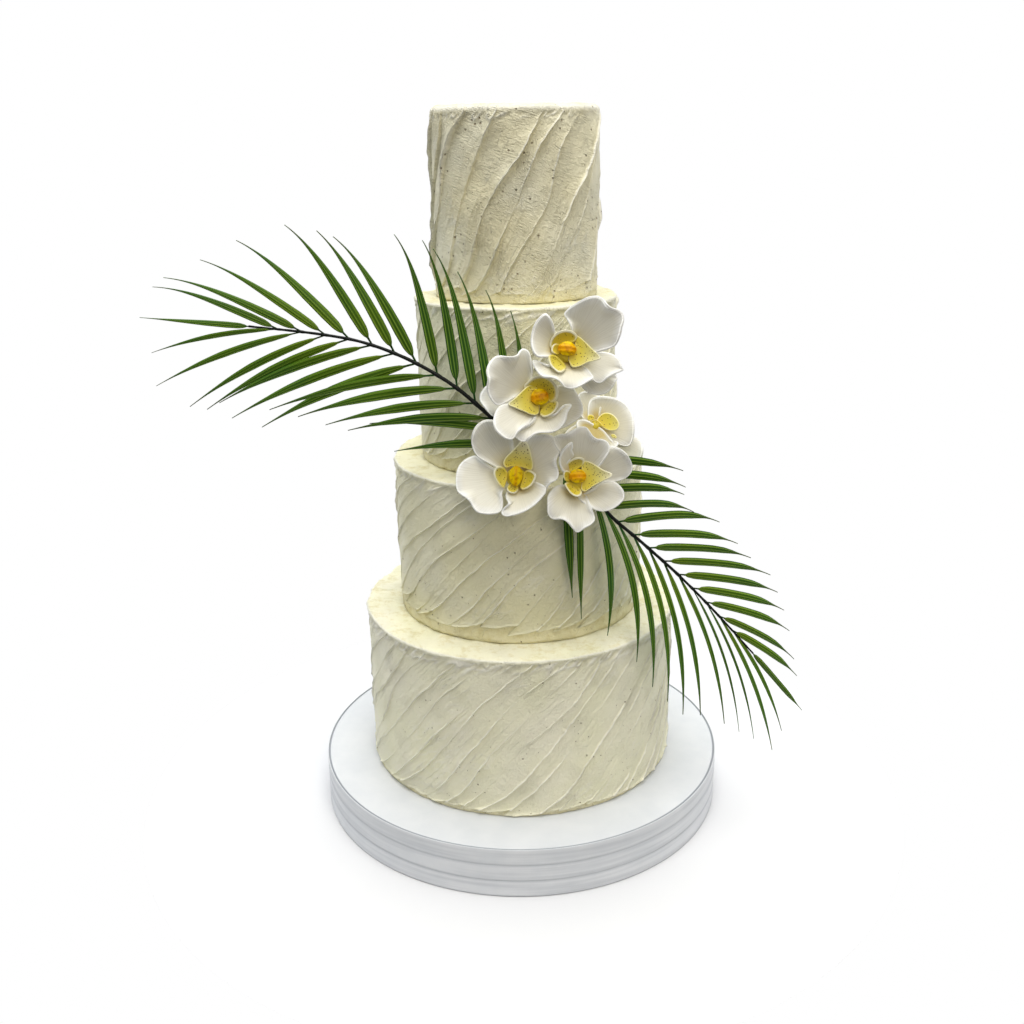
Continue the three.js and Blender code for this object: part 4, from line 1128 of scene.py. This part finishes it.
def petal_rise(bearing, length, half, lift, curl, cup, setback, roll=0.0):
    """Height over the flower's plane: along the petal an arc that starts at its lift and turns
    by its curl, across it roll x side + cup x half x (side / half)^2, and a ruffled rim."""
    bearing = np.radians(bearing)
    s = np.linspace(0, 1.5, 60)
    slope = np.radians(lift + curl * s / 2)
    reach, rise = 2 + np.cos(slope) * length * s, setback + np.sin(slope) * length * s

    def height(x, y, p):
        ahead = x * np.cos(bearing) + y * np.sin(bearing)
        side = -x * np.sin(bearing) + y * np.cos(bearing)
        ruffle = 1.1 * p**3 * lumps(np.stack([x, y, 0 * x + 50 * bearing], axis=-1), 6.5)
        hollow = cup * half * np.clip(side / half, -1.3, 1.3) ** 2
        return np.interp(ahead, reach, rise) + roll * side + hollow + ruffle

    return height


def in_flower(shape, at):
    """From the flower's own frame, x right, y up its face, z out of it, to the cake's."""
    return shape @ FACE_AXES + np.array(at)


round_loop = smooth_loop([(10, 0), (0, 10), (-10, 0), (0, -10)], 72)
print("a loop through four points of a circle, mm across:", round(float(np.ptp(round_loop[:, 0])), 1))

# %% The five flowers
# In mm and degrees. at: the middle of a flower; root: where its stem ends in the icing; via: a
# point the stem bends towards, where it isn't straight behind the flower; knob: the radius of
# the lip's heart, where it isn't the usual one. A petal is its outline in the flower's plane and
# (bearing, length, half width, lift, curl, cup, setback, and for some roll). A lobe of the lip
# is its outline, its height, its slopes to the right and up, and how much it is cupped. The
# callus is (x, y, half length, half width, bearing, and for one its height), and gold moves
# its tint from orange towards gold.
ORCHIDS = [
    dict(
        at=[34, -118, 420], root=[24, -62, 398],
        petals=[
            ([(1.5, 6), (3.3, 13), (2.2, 18.5), (-1.2, 25.5), (0.5, 28.2), (4.5, 30.6), (10, 32.8),
              (15, 34.4), (20, 34.5), (23.3, 33), (25.6, 30.5), (27.3, 27.6), (30.3, 25.3),
              (34.5, 24.2), (37.8, 22), (38.9, 18), (37.6, 12.5), (36.4, 7), (33, 1), (22, -2), (10, -2)],
             (40, 39, 19, 38, 5, 0.15, 0)),
            ([(-3, 2), (-5, 9), (-8, 14.5), (-9.6, 19), (-12, 23), (-14.6, 24.9), (-17.9, 23.2),
              (-21.7, 19), (-24.2, 13), (-25.2, 6), (-24.2, 0), (-21.5, -4.2), (-17, -5), (-9, -3.5)],
             (151, 31, 12.5, 40, -14, 0.5, 0)),
            ([(-3, -4), (-12, -10), (-19.5, -7.2), (-22.8, -5.4), (-24.2, -7), (-22.5, -11.8),
              (-20.2, -16), (-17.2, -18.6), (-12.7, -18.9), (-8.8, -19.9), (-5.3, -22.3), (-2.2, -25.4),
              (1.2, -26.8), (6.3, -26.8), (10.9, -25), (15.5, -22), (19, -19), (14, -12), (4, -5)],
             (262, 31, 22, 42, -20, 0.1, 0)),
            ([(4, 2), (14, 1.5), (24, 0.5), (31, -0.5), (36, -3), (39, -7), (40, -10.5), (41.4, -12.6),
              (38.5, -14.3), (33.6, -16.4), (29.3, -19.2), (25.5, -22), (21, -22.2), (15, -18.5),
              (8, -15), (2, -8)],
             (-22, 42, 13, 18, -28, 0.2, 0, -0.3)),
            ([(4, -4), (8, -14), (11, -22), (14.5, -26), (19, -28.3), (24.5, -29.2), (30.2, -27.7),
              (34.2, -24), (36.4, -19.8), (37.5, -16.5), (30, -8), (15, -1)],
             (-50, 36, 14, -5, -10, 0.1, -4)),
        ],
        lobes=[
            ([(2.5, -9.5), (1.5, -4), (6, 2), (5.8, 8), (7.2, 10.4), (9.5, 9.8), (14, 5.5), (19, 0),
              (24, -6), (19, -8), (14.5, -9), (11, -10.8), (7, -11.8), (4, -11.6)],
             8.5, 0.26, -0.06, 0.1),
            ([(-11.5, 3), (-11.3, 7), (-8.5, 10.8), (-4, 13.3), (1, 13.8), (5.5, 12.3), (7.8, 9.5),
              (6, 6.5), (1, 5.2), (-4.5, 3.8), (-8, 1.5)],
             9.0, 0.0, 0.6, 0.5),
            ([(-9, -2.6), (-12, -3.2), (-12.6, -6), (-11.4, -10.5), (-8.8, -13.5), (-5.8, -15.6),
              (-2.6, -15), (-0.4, -12), (-2, -8), (-5.5, -4.5)],
             9.5, -0.45, -0.4, 0.5),
            ([(-9.8, 3.5), (-10.5, 0), (-8.5, -2), (-4, -2), (-4, 4), (-7.5, 5.2)],
             9.5, -0.4, 0.0, 0.4),
        ],
        callus=(0.6, 1.2, 6.5, 5.0, -6)),
    dict(
        at=[14.3, -112, 385], root=[11, -66, 372],
        petals=[
            ([(-3, 4), (-4, 12), (-3.5, 20), (-5, 29), (-7, 33.5), (-10.5, 34.7), (-12.7, 32.8),
              (-14, 30.2), (-16.8, 28.3), (-20.5, 27.6), (-24.5, 28.3), (-27.8, 28.9), (-31.2, 27.9),
              (-34, 25.2), (-36, 21.5), (-36.9, 17), (-36, 12), (-36.8, 6), (-35.8, 1), (-32, -4.2),
              (-28, -5.2), (-22.5, -3), (-15, 1), (-8, 2)],
             (143, 38.5, 18, 33, 5, 0.15, 0)),
            ([(-4, -3), (-20, 6), (-33, 12.5), (-37.5, 11.8), (-40.6, 8.7), (-42.8, 4.8), (-42.9, 1),
              (-41, -2.8), (-37.7, -7.3), (-33.8, -10.6), (-28, -12), (-12, -8)],
             (178, 41, 12.5, -5, -5, 0.1, -4)),
            ([(-2, -4), (-12, -3), (-22, -3.8), (-27, -5.2), (-30, -8), (-32, -13), (-32.6, -18.5),
              (-31.2, -23.5), (-28, -27), (-24.5, -29.6), (-20.8, -30.3), (-18, -29), (-14, -24),
              (-9, -20), (-4.8, -16), (-2.5, -11)],
             (219, 35, 12.5, 35, -8, 0.15, 0)),
            ([(0, -4), (-2.5, -12), (-6, -18), (-12, -22), (-18.5, -25.6), (-16.8, -28.4), (-13.5, -31),
              (-9.9, -31.4), (-7, -29), (-3.8, -26.7), (0, -25.5), (5.3, -25.5), (10.6, -25),
              (14.8, -22.9), (18, -19.5), (20, -15.5), (20.8, -11), (22.6, -7.8), (24.3, -5),
              (22.4, -4), (19, -5.2), (15.5, -8.6), (11.5, -12), (6, -10)],
             (295, 31, 22, 40, -22, 0.1, 0)),
            ([(2, 3), (12, 9), (20, 9.5), (26, 7.5), (28.5, 4), (30.8, -0.5), (32.8, -5), (33.2, -9),
              (31.4, -12.6), (28, -15.5), (20, -20), (14, -20), (6, -10)],
             (-3, 32, 17, 4, 0, 0.12, -3, 0.45)),
        ],
        lobes=[
            ([(-1, 8), (-4, 9.8), (-7.5, 8.8), (-12, 5), (-17, 0), (-22, -4.6), (-17, -7.3),
              (-11, -9.8), (-6, -11.9), (-2, -12.4), (0.4, -10.6), (0.6, -5)],
             8.5, -0.26, -0.06, 0.1),
            ([(-10.5, 8), (-7.5, 12), (-3, 14.6), (3, 15.2), (8.5, 13), (12.4, 8.8), (14, 3.5),
              (13, -1.5), (9, -3.4), (5.5, 1), (1, 5.5), (-5, 6)],
             8.8, 0.35, 0.5, 0.45),
            ([(8.8, -3), (13, -2.6), (14, -4.5), (12.8, -8.3), (9.6, -12), (6, -13.8), (3, -13.8),
              (1.2, -11.5), (2, -8), (5, -5)],
             9.5, 0.35, -0.45, 0.5),
        ],
        callus=(1.0, 0.6, 6.4, 6.0, 14)),
    dict(
        at=[-2.4, -107.5, 324.3], root=[-6, -66, 338],
        petals=[
            ([(-4, 2), (-15, 6.5), (-21, 10), (-27.5, 14.5), (-30.5, 16.9), (-34, 16.2), (-38.5, 13.9),
              (-42, 10.7), (-44.4, 6), (-45.3, 0.5), (-45.2, -5.5), (-43.9, -10.2), (-41, -12.9),
              (-37.6, -15), (-34.4, -18.4), (-32.2, -22.5), (-29.4, -25.8), (-24.8, -27.3),
              (-18.6, -27.6), (-13.5, -26.6), (-10.4, -24), (-10, -18), (-10.8, -13), (-9, -8)],
             (188, 40.5, 20, 12, -16, 0.15, 0, 0.25)),
            ([(-3, 4), (-12, 6), (-20, 10), (-27, 14), (-30.5, 18), (-32.3, 22.5), (-33, 28),
              (-31.7, 33.4), (-29, 38), (-24.8, 41.3), (-20.5, 42.5), (-15, 42), (-8, 38), (-3, 31),
              (-1, 20)],
             (127, 40.5, 16, 22, 2, 0.15, -4)),
            ([(-2, 4), (-6, 15), (-8, 26), (-3, 33), (5, 35), (13, 34), (17, 29), (14, 15), (5, 4)],
             (80, 32, 16, 15, 0, 0.1, -4)),
            ([(3, 2), (6, 14), (7, 24), (11, 29.5), (17.5, 31), (24, 31), (27.5, 29.8), (30, 26.5),
              (32.2, 23), (33.4, 20.5), (33, 17.6), (30.9, 14.6), (29.8, 11.5), (30.2, 8), (31.6, 4),
              (31.8, 0.6), (29.8, -2.8), (26, -4.8), (23.4, -7.6), (21, -11.5), (17, -14), (9, -9)],
             (27, 33, 21, 28, -8, 0.12, 0)),
            ([(-2, -3), (-7, -10), (-8, -15), (-6, -20), (-10.5, -24.8), (-11, -27.6), (-7.5, -29.3),
              (-1.5, -28.4), (4.7, -26.3), (10.1, -23.4), (15, -19.7), (19, -15.5), (22, -11.5),
              (21, -7), (12, -3)],
             (289, 31, 17, 42, -15, 0.2, 0)),
        ],
        lobes=[
            ([(-7.5, 7.2), (-9.6, 10.3), (-7.8, 14.6), (-3, 19.4), (1.5, 24), (5, 27), (8.5, 25.5),
              (10.6, 20.5), (11.9, 15), (12.9, 9.5), (11.5, 5), (5, 7), (-3, 8)],
             8.5, 0.06, 0.26, 0.1),
            ([(-16, 5.8), (-13.5, 8), (-10, 7.6), (-7, 4.5), (-6.5, 0), (-8, -5), (-9.5, -7.8),
              (-12.5, -6), (-15.3, -1.8), (-16.6, 2.5)],
             9.5, -0.45, 0.0, 0.4),
            ([(6.2, 3.6), (9, 5), (12.5, 3.8), (14.7, 1), (13.5, -3), (10.5, -7), (6, -9.4),
              (3.2, -8.6), (3.5, -5.5), (5, -1)],
             9.5, 0.4, -0.25, 0.5),
            ([(-5.8, -6.2), (-7, -9.2), (-4.5, -11.7), (-1, -12), (1.5, -9.5), (1, -6), (-2, -4.5)],
             9.5, 0.0, -0.4, 0.3),
        ],
        callus=(-0.2, 0.9, 7.4, 5.0, 86), gold=0.45),
    dict(
        at=[42.8, -107, 320], root=[30, -82, 300], via=[36, -101, 310],
        petals=[
            ([(-3, 6), (-7, 13), (-12, 20), (-17, 28), (-17.5, 32.5), (-13.5, 34.4), (-9.4, 34.8),
              (-5.2, 36.5), (-1, 38.9), (3, 40.2), (7, 39.6), (9.2, 36.4), (11.4, 33), (14.8, 30.7),
              (20, 30.2), (23.5, 27.5), (24, 22), (18, 12), (9, 5)],
             (86, 33.5, 18, 36, -6, 0.15, 0)),
            ([(5, 3), (10, 12), (17, 20), (22, 25), (26, 26.2), (31, 24.4), (35.8, 21), (39.4, 16.4),
              (42.2, 10.8), (41.2, 6.4), (37.5, 2.6), (32.4, 0.4), (27, -0.6), (15, -1)],
             (13, 38, 13.5, 10, 0, 0.15, 0, 0.35)),
            ([(0, -3), (3.6, -8.8), (10.5, -6), (17.3, -1.4), (24.9, 0.6), (30, -1), (34, -5),
              (36, -9.2), (35.6, -13.4), (32.4, -17.3), (27.5, -20.6), (21.4, -22.5), (15.3, -21.9),
              (9.8, -19.4), (5, -16), (1, -12)],
             (-33, 36, 11.5, 10, -10, 0.15, 1, -0.1)),
            ([(2, -2), (-8, -2), (-14, -2.5), (-19, -6), (-22, -11), (-22.2, -17), (-22.4, -22),
              (-20.5, -26), (-17.5, -28), (-13.5, -27.7), (-10, -28.4), (-6.6, -31), (-4, -34.3),
              (-1.2, -37.6), (1.7, -37.6), (5.8, -34.8), (9.9, -32.7), (13, -29.7), (13.2, -26),
              (11.2, -21), (9, -14), (6, -6)],
             (260, 38, 17.5, 22, -12, 0.15, 0)),
            ([(-4, 4), (-10, 7), (-13, 12), (-13.6, 16), (-12.4, 20.4), (-10.4, 23.8), (-7, 27.2),
              (-3.9, 28.9), (-3.3, 26), (-3.8, 23.5), (-2.5, 20), (-4.8, 16.5), (-8, 12), (-6, 8)],
             (107, 27, 8, 36, 0, 0.3, 3)),
        ],
        lobes=[
            ([(3.5, 12), (4.5, 15.2), (8.5, 15), (14, 12.2), (19.5, 8.4), (25.6, 5.6), (25, 3),
              (18, -0.6), (12.6, -3.5), (8.5, -6.3), (5.6, -7.6), (3, -5.5), (4, 2)],
             8.5, 0.26, 0.0, 0.1),
            ([(-8.5, 7), (-8.8, 11), (-6, 14.8), (-2, 17.2), (2.5, 17.8), (5.6, 16), (4.6, 12),
              (0, 9.2), (-5, 7)],
             9.0, -0.1, 0.6, 0.5),
            ([(-9, -1.2), (-7.5, -5.2), (-4.6, -9), (-0.8, -11.2), (2.6, -10.4), (3.6, -8), (1.6, -4.6),
              (-1.2, -2.2), (-4, -0.6)],
             9.5, -0.3, -0.5, 0.45),
            ([(-9.5, 7.5), (-10, 3.5), (-8, 0.5), (-4, 1), (-4, 6), (-6.5, 8.2)],
             9.5, -0.4, 0.1, 0.4),
        ],
        callus=(0.6, 4.0, 6.4, 5.2, 3)),
    dict(
        at=[59, -78, 355.5], root=[45, -48, 350], knob=4.5,
        petals=[
            ([(-4, 2), (-6, 12), (-4, 20), (2, 22.4), (10, 22.3), (16.4, 20.9), (22, 18), (26.2, 13.8),
              (29, 8.2), (29.9, 2), (29.9, -5), (28.8, -11.5), (25, -15.5), (17, -14), (6, -7)],
             (12, 29, 20.5, 3, 0, 0.1, 0, 0.1)),
            ([(2, -4), (16, -10), (26, -7), (32, -7.5), (35.5, -10.8), (37.3, -15.5), (37.2, -21),
              (35, -25.8), (31, -29.2), (26, -29.5), (18, -24), (8, -13)],
             (-33, 42, 13, -3, -5, 0.1, -3)),
            ([(-2, 3), (-9, 5), (-13, 12), (-15, 20), (-11, 26), (-4, 27), (3, 25), (5, 16), (3, 6)],
             (120, 26, 13, 5, 0, 0.1, 0)),
            ([(-2, 2), (-10, 3), (-18, 0), (-23, -5), (-22, -11), (-16, -13), (-8, -9)],
             (200, 24, 12, 0, 0, 0.1, 0)),
            ([(-14, 4), (-9, 4.6), (-3.4, 2.2), (2.2, -0.8), (6.6, -4.4), (10.2, -9.2), (13.6, -13.3),
              (17, -13.8), (14, -18), (6, -20), (-4, -16), (-12, -8), (-15, -1)],
             (262, 24, 14, 6, 0, 0.1, 8.5)),
        ],
        lobes=[
            ([(0.5, 3.5), (2.5, 7.2), (6, 9.5), (10, 9.6), (14, 7.4), (17, 3.4), (17.7, -0.6),
              (15.4, -3.7), (11, -4.2), (6.5, -2.6), (3, 0.2)],
             7.0, 0.08, -0.04, 0.12),
            ([(11, -7.4), (13.4, -6.8), (15.6, -8.8), (15, -10.2), (12.4, -9.6)],
             10.5, 0.0, 0.0, 0.1),
            ([(-6.6, 5), (-5.8, 7.8), (-3, 8.2), (-1, 6), (-2, 4.2), (-4.6, 3.6)],
             9.0, 0.0, 0.0, 0.2),
            ([(-0.5, 4.4), (2.4, 3.0), (4.6, 0.6), (4.9, -1.2), (2.2, 0.4), (-0.6, 2.4)],
             9.5, 0.0, 0.0, 0.1),
        ],
        callus=(-1.0, -2.0, 4.0, 3.4, 12, 5.5)),
]
print("flowers:", len(ORCHIDS), "petals:", sum(len(flower["petals"]) for flower in ORCHIDS))

# %% [markdown]
# The petals are white and thick, with a faint fan of veins. Near the throat they are painted
# warm, as painted shade, and their faces a little darker than the rolled rims, which carry a
# painted highlight.
# The lip is the same tissue in yellow, freckled dark red, and the callus is a waxy orange
# knob. Light inside thin petals could be shown with subsurface scattering, but these are thick
# and hardly glow, so a plain soft gloss is enough and renders without noise.

# %% Petal finish
petal_material, tree = new_material("moth orchid petal")
# Thick waxy petal: white, almost without gloss, faint fan of veins, painted warm shade near the
# throat.
place = add(tree, "Attribute", attribute_name="place").outputs["Vector"]
parts = add(tree, "SeparateXYZ", {0: place})
outward = add(tree, "Math", {0: parts.outputs["Y"], 1: 0.03}, operation="MULTIPLY").outputs[0]
fan = add(tree, "CombineXYZ", {0: parts.outputs["X"], 1: outward}).outputs[0]
vein = add(tree, "TexNoise", {"Vector": fan, "Scale": 1.0, "Detail": 1.0}).outputs["Fac"]
line = add(tree, "MapRange", {"Value": vein, "From Min": 0.5, "From Max": 0.62, "To Max": 0.33}).outputs[0]
# Painted shade: ochre at the throat, paler outwards, warm where the petals meet.
reach = add(tree, "Math", {0: parts.outputs["Y"], 1: 30.0}, operation="DIVIDE").outputs[0]
throat = add(tree, "ValToRGB", {0: reach}, stops=[
    (0.3, "#dac47a"), (0.5, "#e8e2c8"), (0.85, "#eeebdc")]).outputs[0]
# The rolled rim is painted a purer white than the face: a painted highlight.
rim_highlight = add(tree, "MapRange", {"Value": parts.outputs["Z"], "From Min": 0.7, "From Max": 0.97}).outputs[0]
tint = add(tree, "Mix", {0: rim_highlight, 6: throat, 7: "#f8f8f4"}, data_type="RGBA").outputs[2]
tint = add(tree, "Mix", {0: line, 6: tint, 7: "#d6d1c0"}, data_type="RGBA").outputs[2]
relief = add(tree, "Bump", {"Height": vein, "Strength": 0.3, "Distance": 0.0005}).outputs[0]
wax = add(tree, "BsdfPrincipled", {
    "Base Color": tint, "Roughness": 0.5, "Specular IOR Level": 0.4, "Normal": relief})
add(tree, "OutputMaterial", {"Surface": wax.outputs[0]})
print("petal nodes:", len(petal_material.node_tree.nodes))

# %% Lip finish
FRECKLE_PITCH = 1.7  # mm between the points of the freckles' pattern

lip_material, tree = new_material("moth orchid lip")
# The lip is the same waxy tissue, yellow with dark red dots about 0.7 mm across, and cream
# at its rim and tip.
place = add(tree, "Attribute", attribute_name="place").outputs["Vector"]
spot = add(tree, "TexCoord").outputs["Object"]
parts = add(tree, "SeparateXYZ", {0: place})
reach = add(tree, "ValToRGB", {0: parts.outputs["X"]}, stops=[
    (0.2, "#dec636"), (0.42, "#e2d14a"), (0.7, "#e3da88"), (1.0, "#eee9c8")]).outputs[0]
cells = add(tree, "TexVoronoi", {"Vector": spot, "Scale": 1000 / FRECKLE_PITCH, "Randomness": 0.9})
dots = add(tree, "MapRange", {
    "Value": cells.outputs["Distance"], "From Min": 0.14, "From Max": 0.28, "To Min": 1.0,
    "To Max": 0.0}, interpolation_type="SMOOTHSTEP").outputs[0]
middle = add(tree, "MapRange", {"Value": parts.outputs["Y"], "From Min": 0.85, "From Max": 0.95,
                                "To Min": 1.0, "To Max": 0.0}).outputs[0]
dots = add(tree, "Math", {0: dots, 1: middle}, operation="MULTIPLY").outputs[0]
tint = add(tree, "Mix", {0: dots, 6: reach, 7: "#5e2a10"}, data_type="RGBA").outputs[2]
tint = add(tree, "Mix", {0: parts.outputs["Z"], 6: tint, 7: "#f4f1dc"}, data_type="RGBA").outputs[2]
wax = add(tree, "BsdfPrincipled", {"Base Color": tint, "Roughness": 0.42, "Specular IOR Level": 0.45})
add(tree, "OutputMaterial", {"Surface": wax.outputs[0]})
print("freckles, mm across:", round(2 * 0.21 * FRECKLE_PITCH, 1))

# %% Callus and stem finishes
callus_material, tree = new_material("moth orchid callus")
# A waxy knob: orange along its top, gold at its sides, with a few soft brown marks.
place = add(tree, "Attribute", attribute_name="place").outputs["Vector"]
parts = add(tree, "SeparateXYZ", {0: place})
tint = add(tree, "ValToRGB", {0: parts.outputs["Z"]}, stops=[
    (0.1, "#e8a000"), (0.5, "#f2bc00"), (0.85, "#fbda04")]).outputs[0]
groove = add(tree, "MapRange", {
    "Value": parts.outputs["X"], "From Min": 0.3, "From Max": 1.0, "To Max": 0.12}).outputs[0]
tint = add(tree, "Mix", {0: groove, 6: tint, 7: "#a04a04"}, data_type="RGBA").outputs[2]
spot = add(tree, "TexCoord").outputs["Object"]
mark = add(tree, "TexNoise", {"Vector": spot, "Scale": 420.0, "Detail": 2.0}).outputs["Fac"]
mark = add(tree, "MapRange", {"Value": mark, "From Min": 0.52, "From Max": 0.64, "To Max": 0.4}).outputs[0]
tint = add(tree, "Mix", {0: mark, 6: tint, 7: "#9c4604"}, data_type="RGBA").outputs[2]
wax = add(tree, "BsdfPrincipled", {"Base Color": tint, "Roughness": 0.35, "Specular IOR Level": 0.15})
add(tree, "OutputMaterial", {"Surface": wax.outputs[0]})

stem_material, tree = new_material("orchid stem")
# A fresh stem: pale green, smooth, a little darker in soft patches.
spot = add(tree, "TexCoord").outputs["Object"]
patch = add(tree, "TexNoise", {"Vector": spot, "Scale": 300.0, "Detail": 2.0}).outputs["Fac"]
tint = add(tree, "ValToRGB", {0: patch}, stops=[(0.3, "#a9b07a"), (0.7, "#c9cfa0")]).outputs[0]
wax = add(tree, "BsdfPrincipled", {"Base Color": tint, "Roughness": 0.5})
add(tree, "OutputMaterial", {"Surface": wax.outputs[0]})
print("callus nodes:", len(callus_material.node_tree.nodes))

# %% Parts of a flower
VEIN_SPREAD = 42  # scale of the angle from a petal's middle line, for its veins
LIP_REACH = 26  # mm from the throat at which the lip is palest
BROAD_RIM = 0.2  # lobes cupped more than this have a broad cream rim
CALLUS_ROWS, CALLUS_COLUMNS, CALLUS_THICK = 36, 64, 3.0
HEART_ROWS, HEART_COLUMNS = 14, 28


def petal_grid(outline, habit, at):
    """A petal in the cake's frame, with its direction and distance from the throat in mm."""
    shape, p = soft_sheet(outline, petal_rise(*habit), thick=1.6, wavy=1.4, bead=0.1)
    fan = np.arctan2(shape[..., 1], shape[..., 0]) - np.radians(habit[0])
    fan = (fan + np.pi) % TURN - np.pi
    away = np.hypot(shape[..., 0], shape[..., 1])
    return in_flower(shape, at), np.stack([fan * VEIN_SPREAD, away, p], axis=-1)


def lobe_grid(outline, height, slope_x, slope_y, cup, at):
    """A lobe of the lip: a sheet on a slope, height + slope (x, y) + cup x size x p^2.2, whose
    rim stands up. Lobes over 9 mm up slope sideways about their own middle, the lower ones
    about the flower's. Cupped lobes have a broad cream rim on the side away from the callus."""
    middle = np.mean(outline, axis=0)
    size = np.linalg.norm(np.array(outline) - middle, axis=1).mean()
    pivot = middle[0] * (height > 9)

    def rise(x, y, p):
        return height + slope_x * (x - pivot) + slope_y * (y - middle[1]) + cup * size * p**2.2

    shape, p = soft_sheet(outline, rise, thick=1.1, columns=72, rows=12, rim=5, wavy=0.0, bead=0.15)
    away = np.hypot(shape[..., 0], shape[..., 1])
    if cup > BROAD_RIM:
        cream = 0.9 * smooth(0.78, 0.92, p) * smooth(-0.2, 0.8, (away - np.hypot(*middle)) / size)
    else:
        cream = 0.6 * smooth(0.93, 0.98, p)
    return in_flower(shape, at), np.stack([away / LIP_REACH, p, cream], axis=-1)


def callus_grid(x, y, half_long, half_wide, bearing, height=12.6, *, at, gold):
    """An oval knob with grooves along it: a sphere stretched, and sunk by
    0.05 cos(3 pi across + 0.6) on its upper side. gold shifts its tint towards gold."""
    polar = np.linspace(0.04, 0.96, CALLUS_ROWS)[:, None] * np.pi
    turn = TURN * np.arange(CALLUS_COLUMNS)[None] / CALLUS_COLUMNS
    across = np.sin(polar) * np.cos(turn)
    along = -np.cos(polar) + 0 * turn
    upward = np.sin(polar) * np.sin(turn)
    groove = np.cos(3 * np.pi * across + 0.6) * smooth(0.1, 0.6, upward)
    size = 1 - 0.05 * groove + 0.08 * lumps(np.stack([along, across, upward], -1) * 9, 3.4, 41)
    turned = np.radians(bearing)
    long, wide = along * half_long * size, across * half_wide * size
    shape = np.stack([x + long * np.cos(turned) - wide * np.sin(turned),
                      y + long * np.sin(turned) + wide * np.cos(turned),
                      height + upward * CALLUS_THICK * size], axis=-1)
    place = np.stack([groove, along, np.abs(across) + gold], axis=-1)
    return in_flower(shape[:, ::-1], at), place[:, ::-1]


def heart_grid(radius, depth, centre_z, place, at):
    """The knob that holds petals or lobes: a flattened sphere with one value of place."""
    polar = np.linspace(0.05, 0.95, HEART_ROWS)[:, None] * np.pi
    turn = TURN * np.arange(HEART_COLUMNS)[None] / HEART_COLUMNS
    shape = round_axis(radius * np.sin(polar), turn, centre_z - depth * np.cos(polar))
    return in_flower(shape, at), np.zeros_like(shape) + place


knob, _ = heart_grid(7.0, 4.2, 0, [0, 0, 0], [0, 0, 0])
print("knob of a flower, mm:", np.ptp(knob.reshape(-1, 3), axis=0).round(1))

# %% Make the flowers
STEM_RADIUS, STEM_SIDES, STEM_ROWS = 1.5, 16, 24
# How far behind the flower its stem starts, also where it bends at once, and its first bend.
STEM_START, BENT_START, STEM_BEND = 4.5, 6.0, 11.6

for number, flower in enumerate(ORCHIDS, 1):
    name, at = f"orchid_{number}", flower["at"]
    petals = [petal_grid(outline, habit, at) for outline, habit in flower["petals"]]
    petals.append(heart_grid(7.0, 4.2, centre_z=-1.6, place=[0, 8, 0], at=at))
    put_mesh(f"{name}_bloom", petals, petal_material, f"{name}_petals")
    lobes = [lobe_grid(*lobe, at) for lobe in flower["lobes"]]
    lobes.append(heart_grid(flower.get("knob", 7.5), 5.0, centre_z=5.5, place=[0.25, 1, 0], at=at))
    put_mesh(f"{name}_yellow_lip", lobes, lip_material, f"{name}_lip")
    callus = callus_grid(*flower["callus"], at=at, gold=flower.get("gold", 0))
    put_mesh(f"{name}_orange_callus", [callus], callus_material, f"{name}_callus")
    # The stem runs in an arc, (1-t)^2 start + 2t(1-t) via + t^2 root, to its root in the icing.
    start = in_flower(np.array([0, 0, -BENT_START if "via" in flower else -STEM_START]), at)
    via = np.array(flower.get("via", in_flower(np.array([0, 0, -STEM_BEND]), at)), float)
    t = np.linspace(0, 1, 40)[:, None]
    line = (1 - t) ** 2 * start + 2 * t * (1 - t) * via + t**2 * np.array(flower["root"], float)
    stem = round_tube((line, length_along(line)), STEM_RADIUS, STEM_SIDES, STEM_ROWS)
    put_mesh(f"{name}_green_stem", [(stem, np.zeros_like(stem))], stem_material,
             f"{name}_stem")
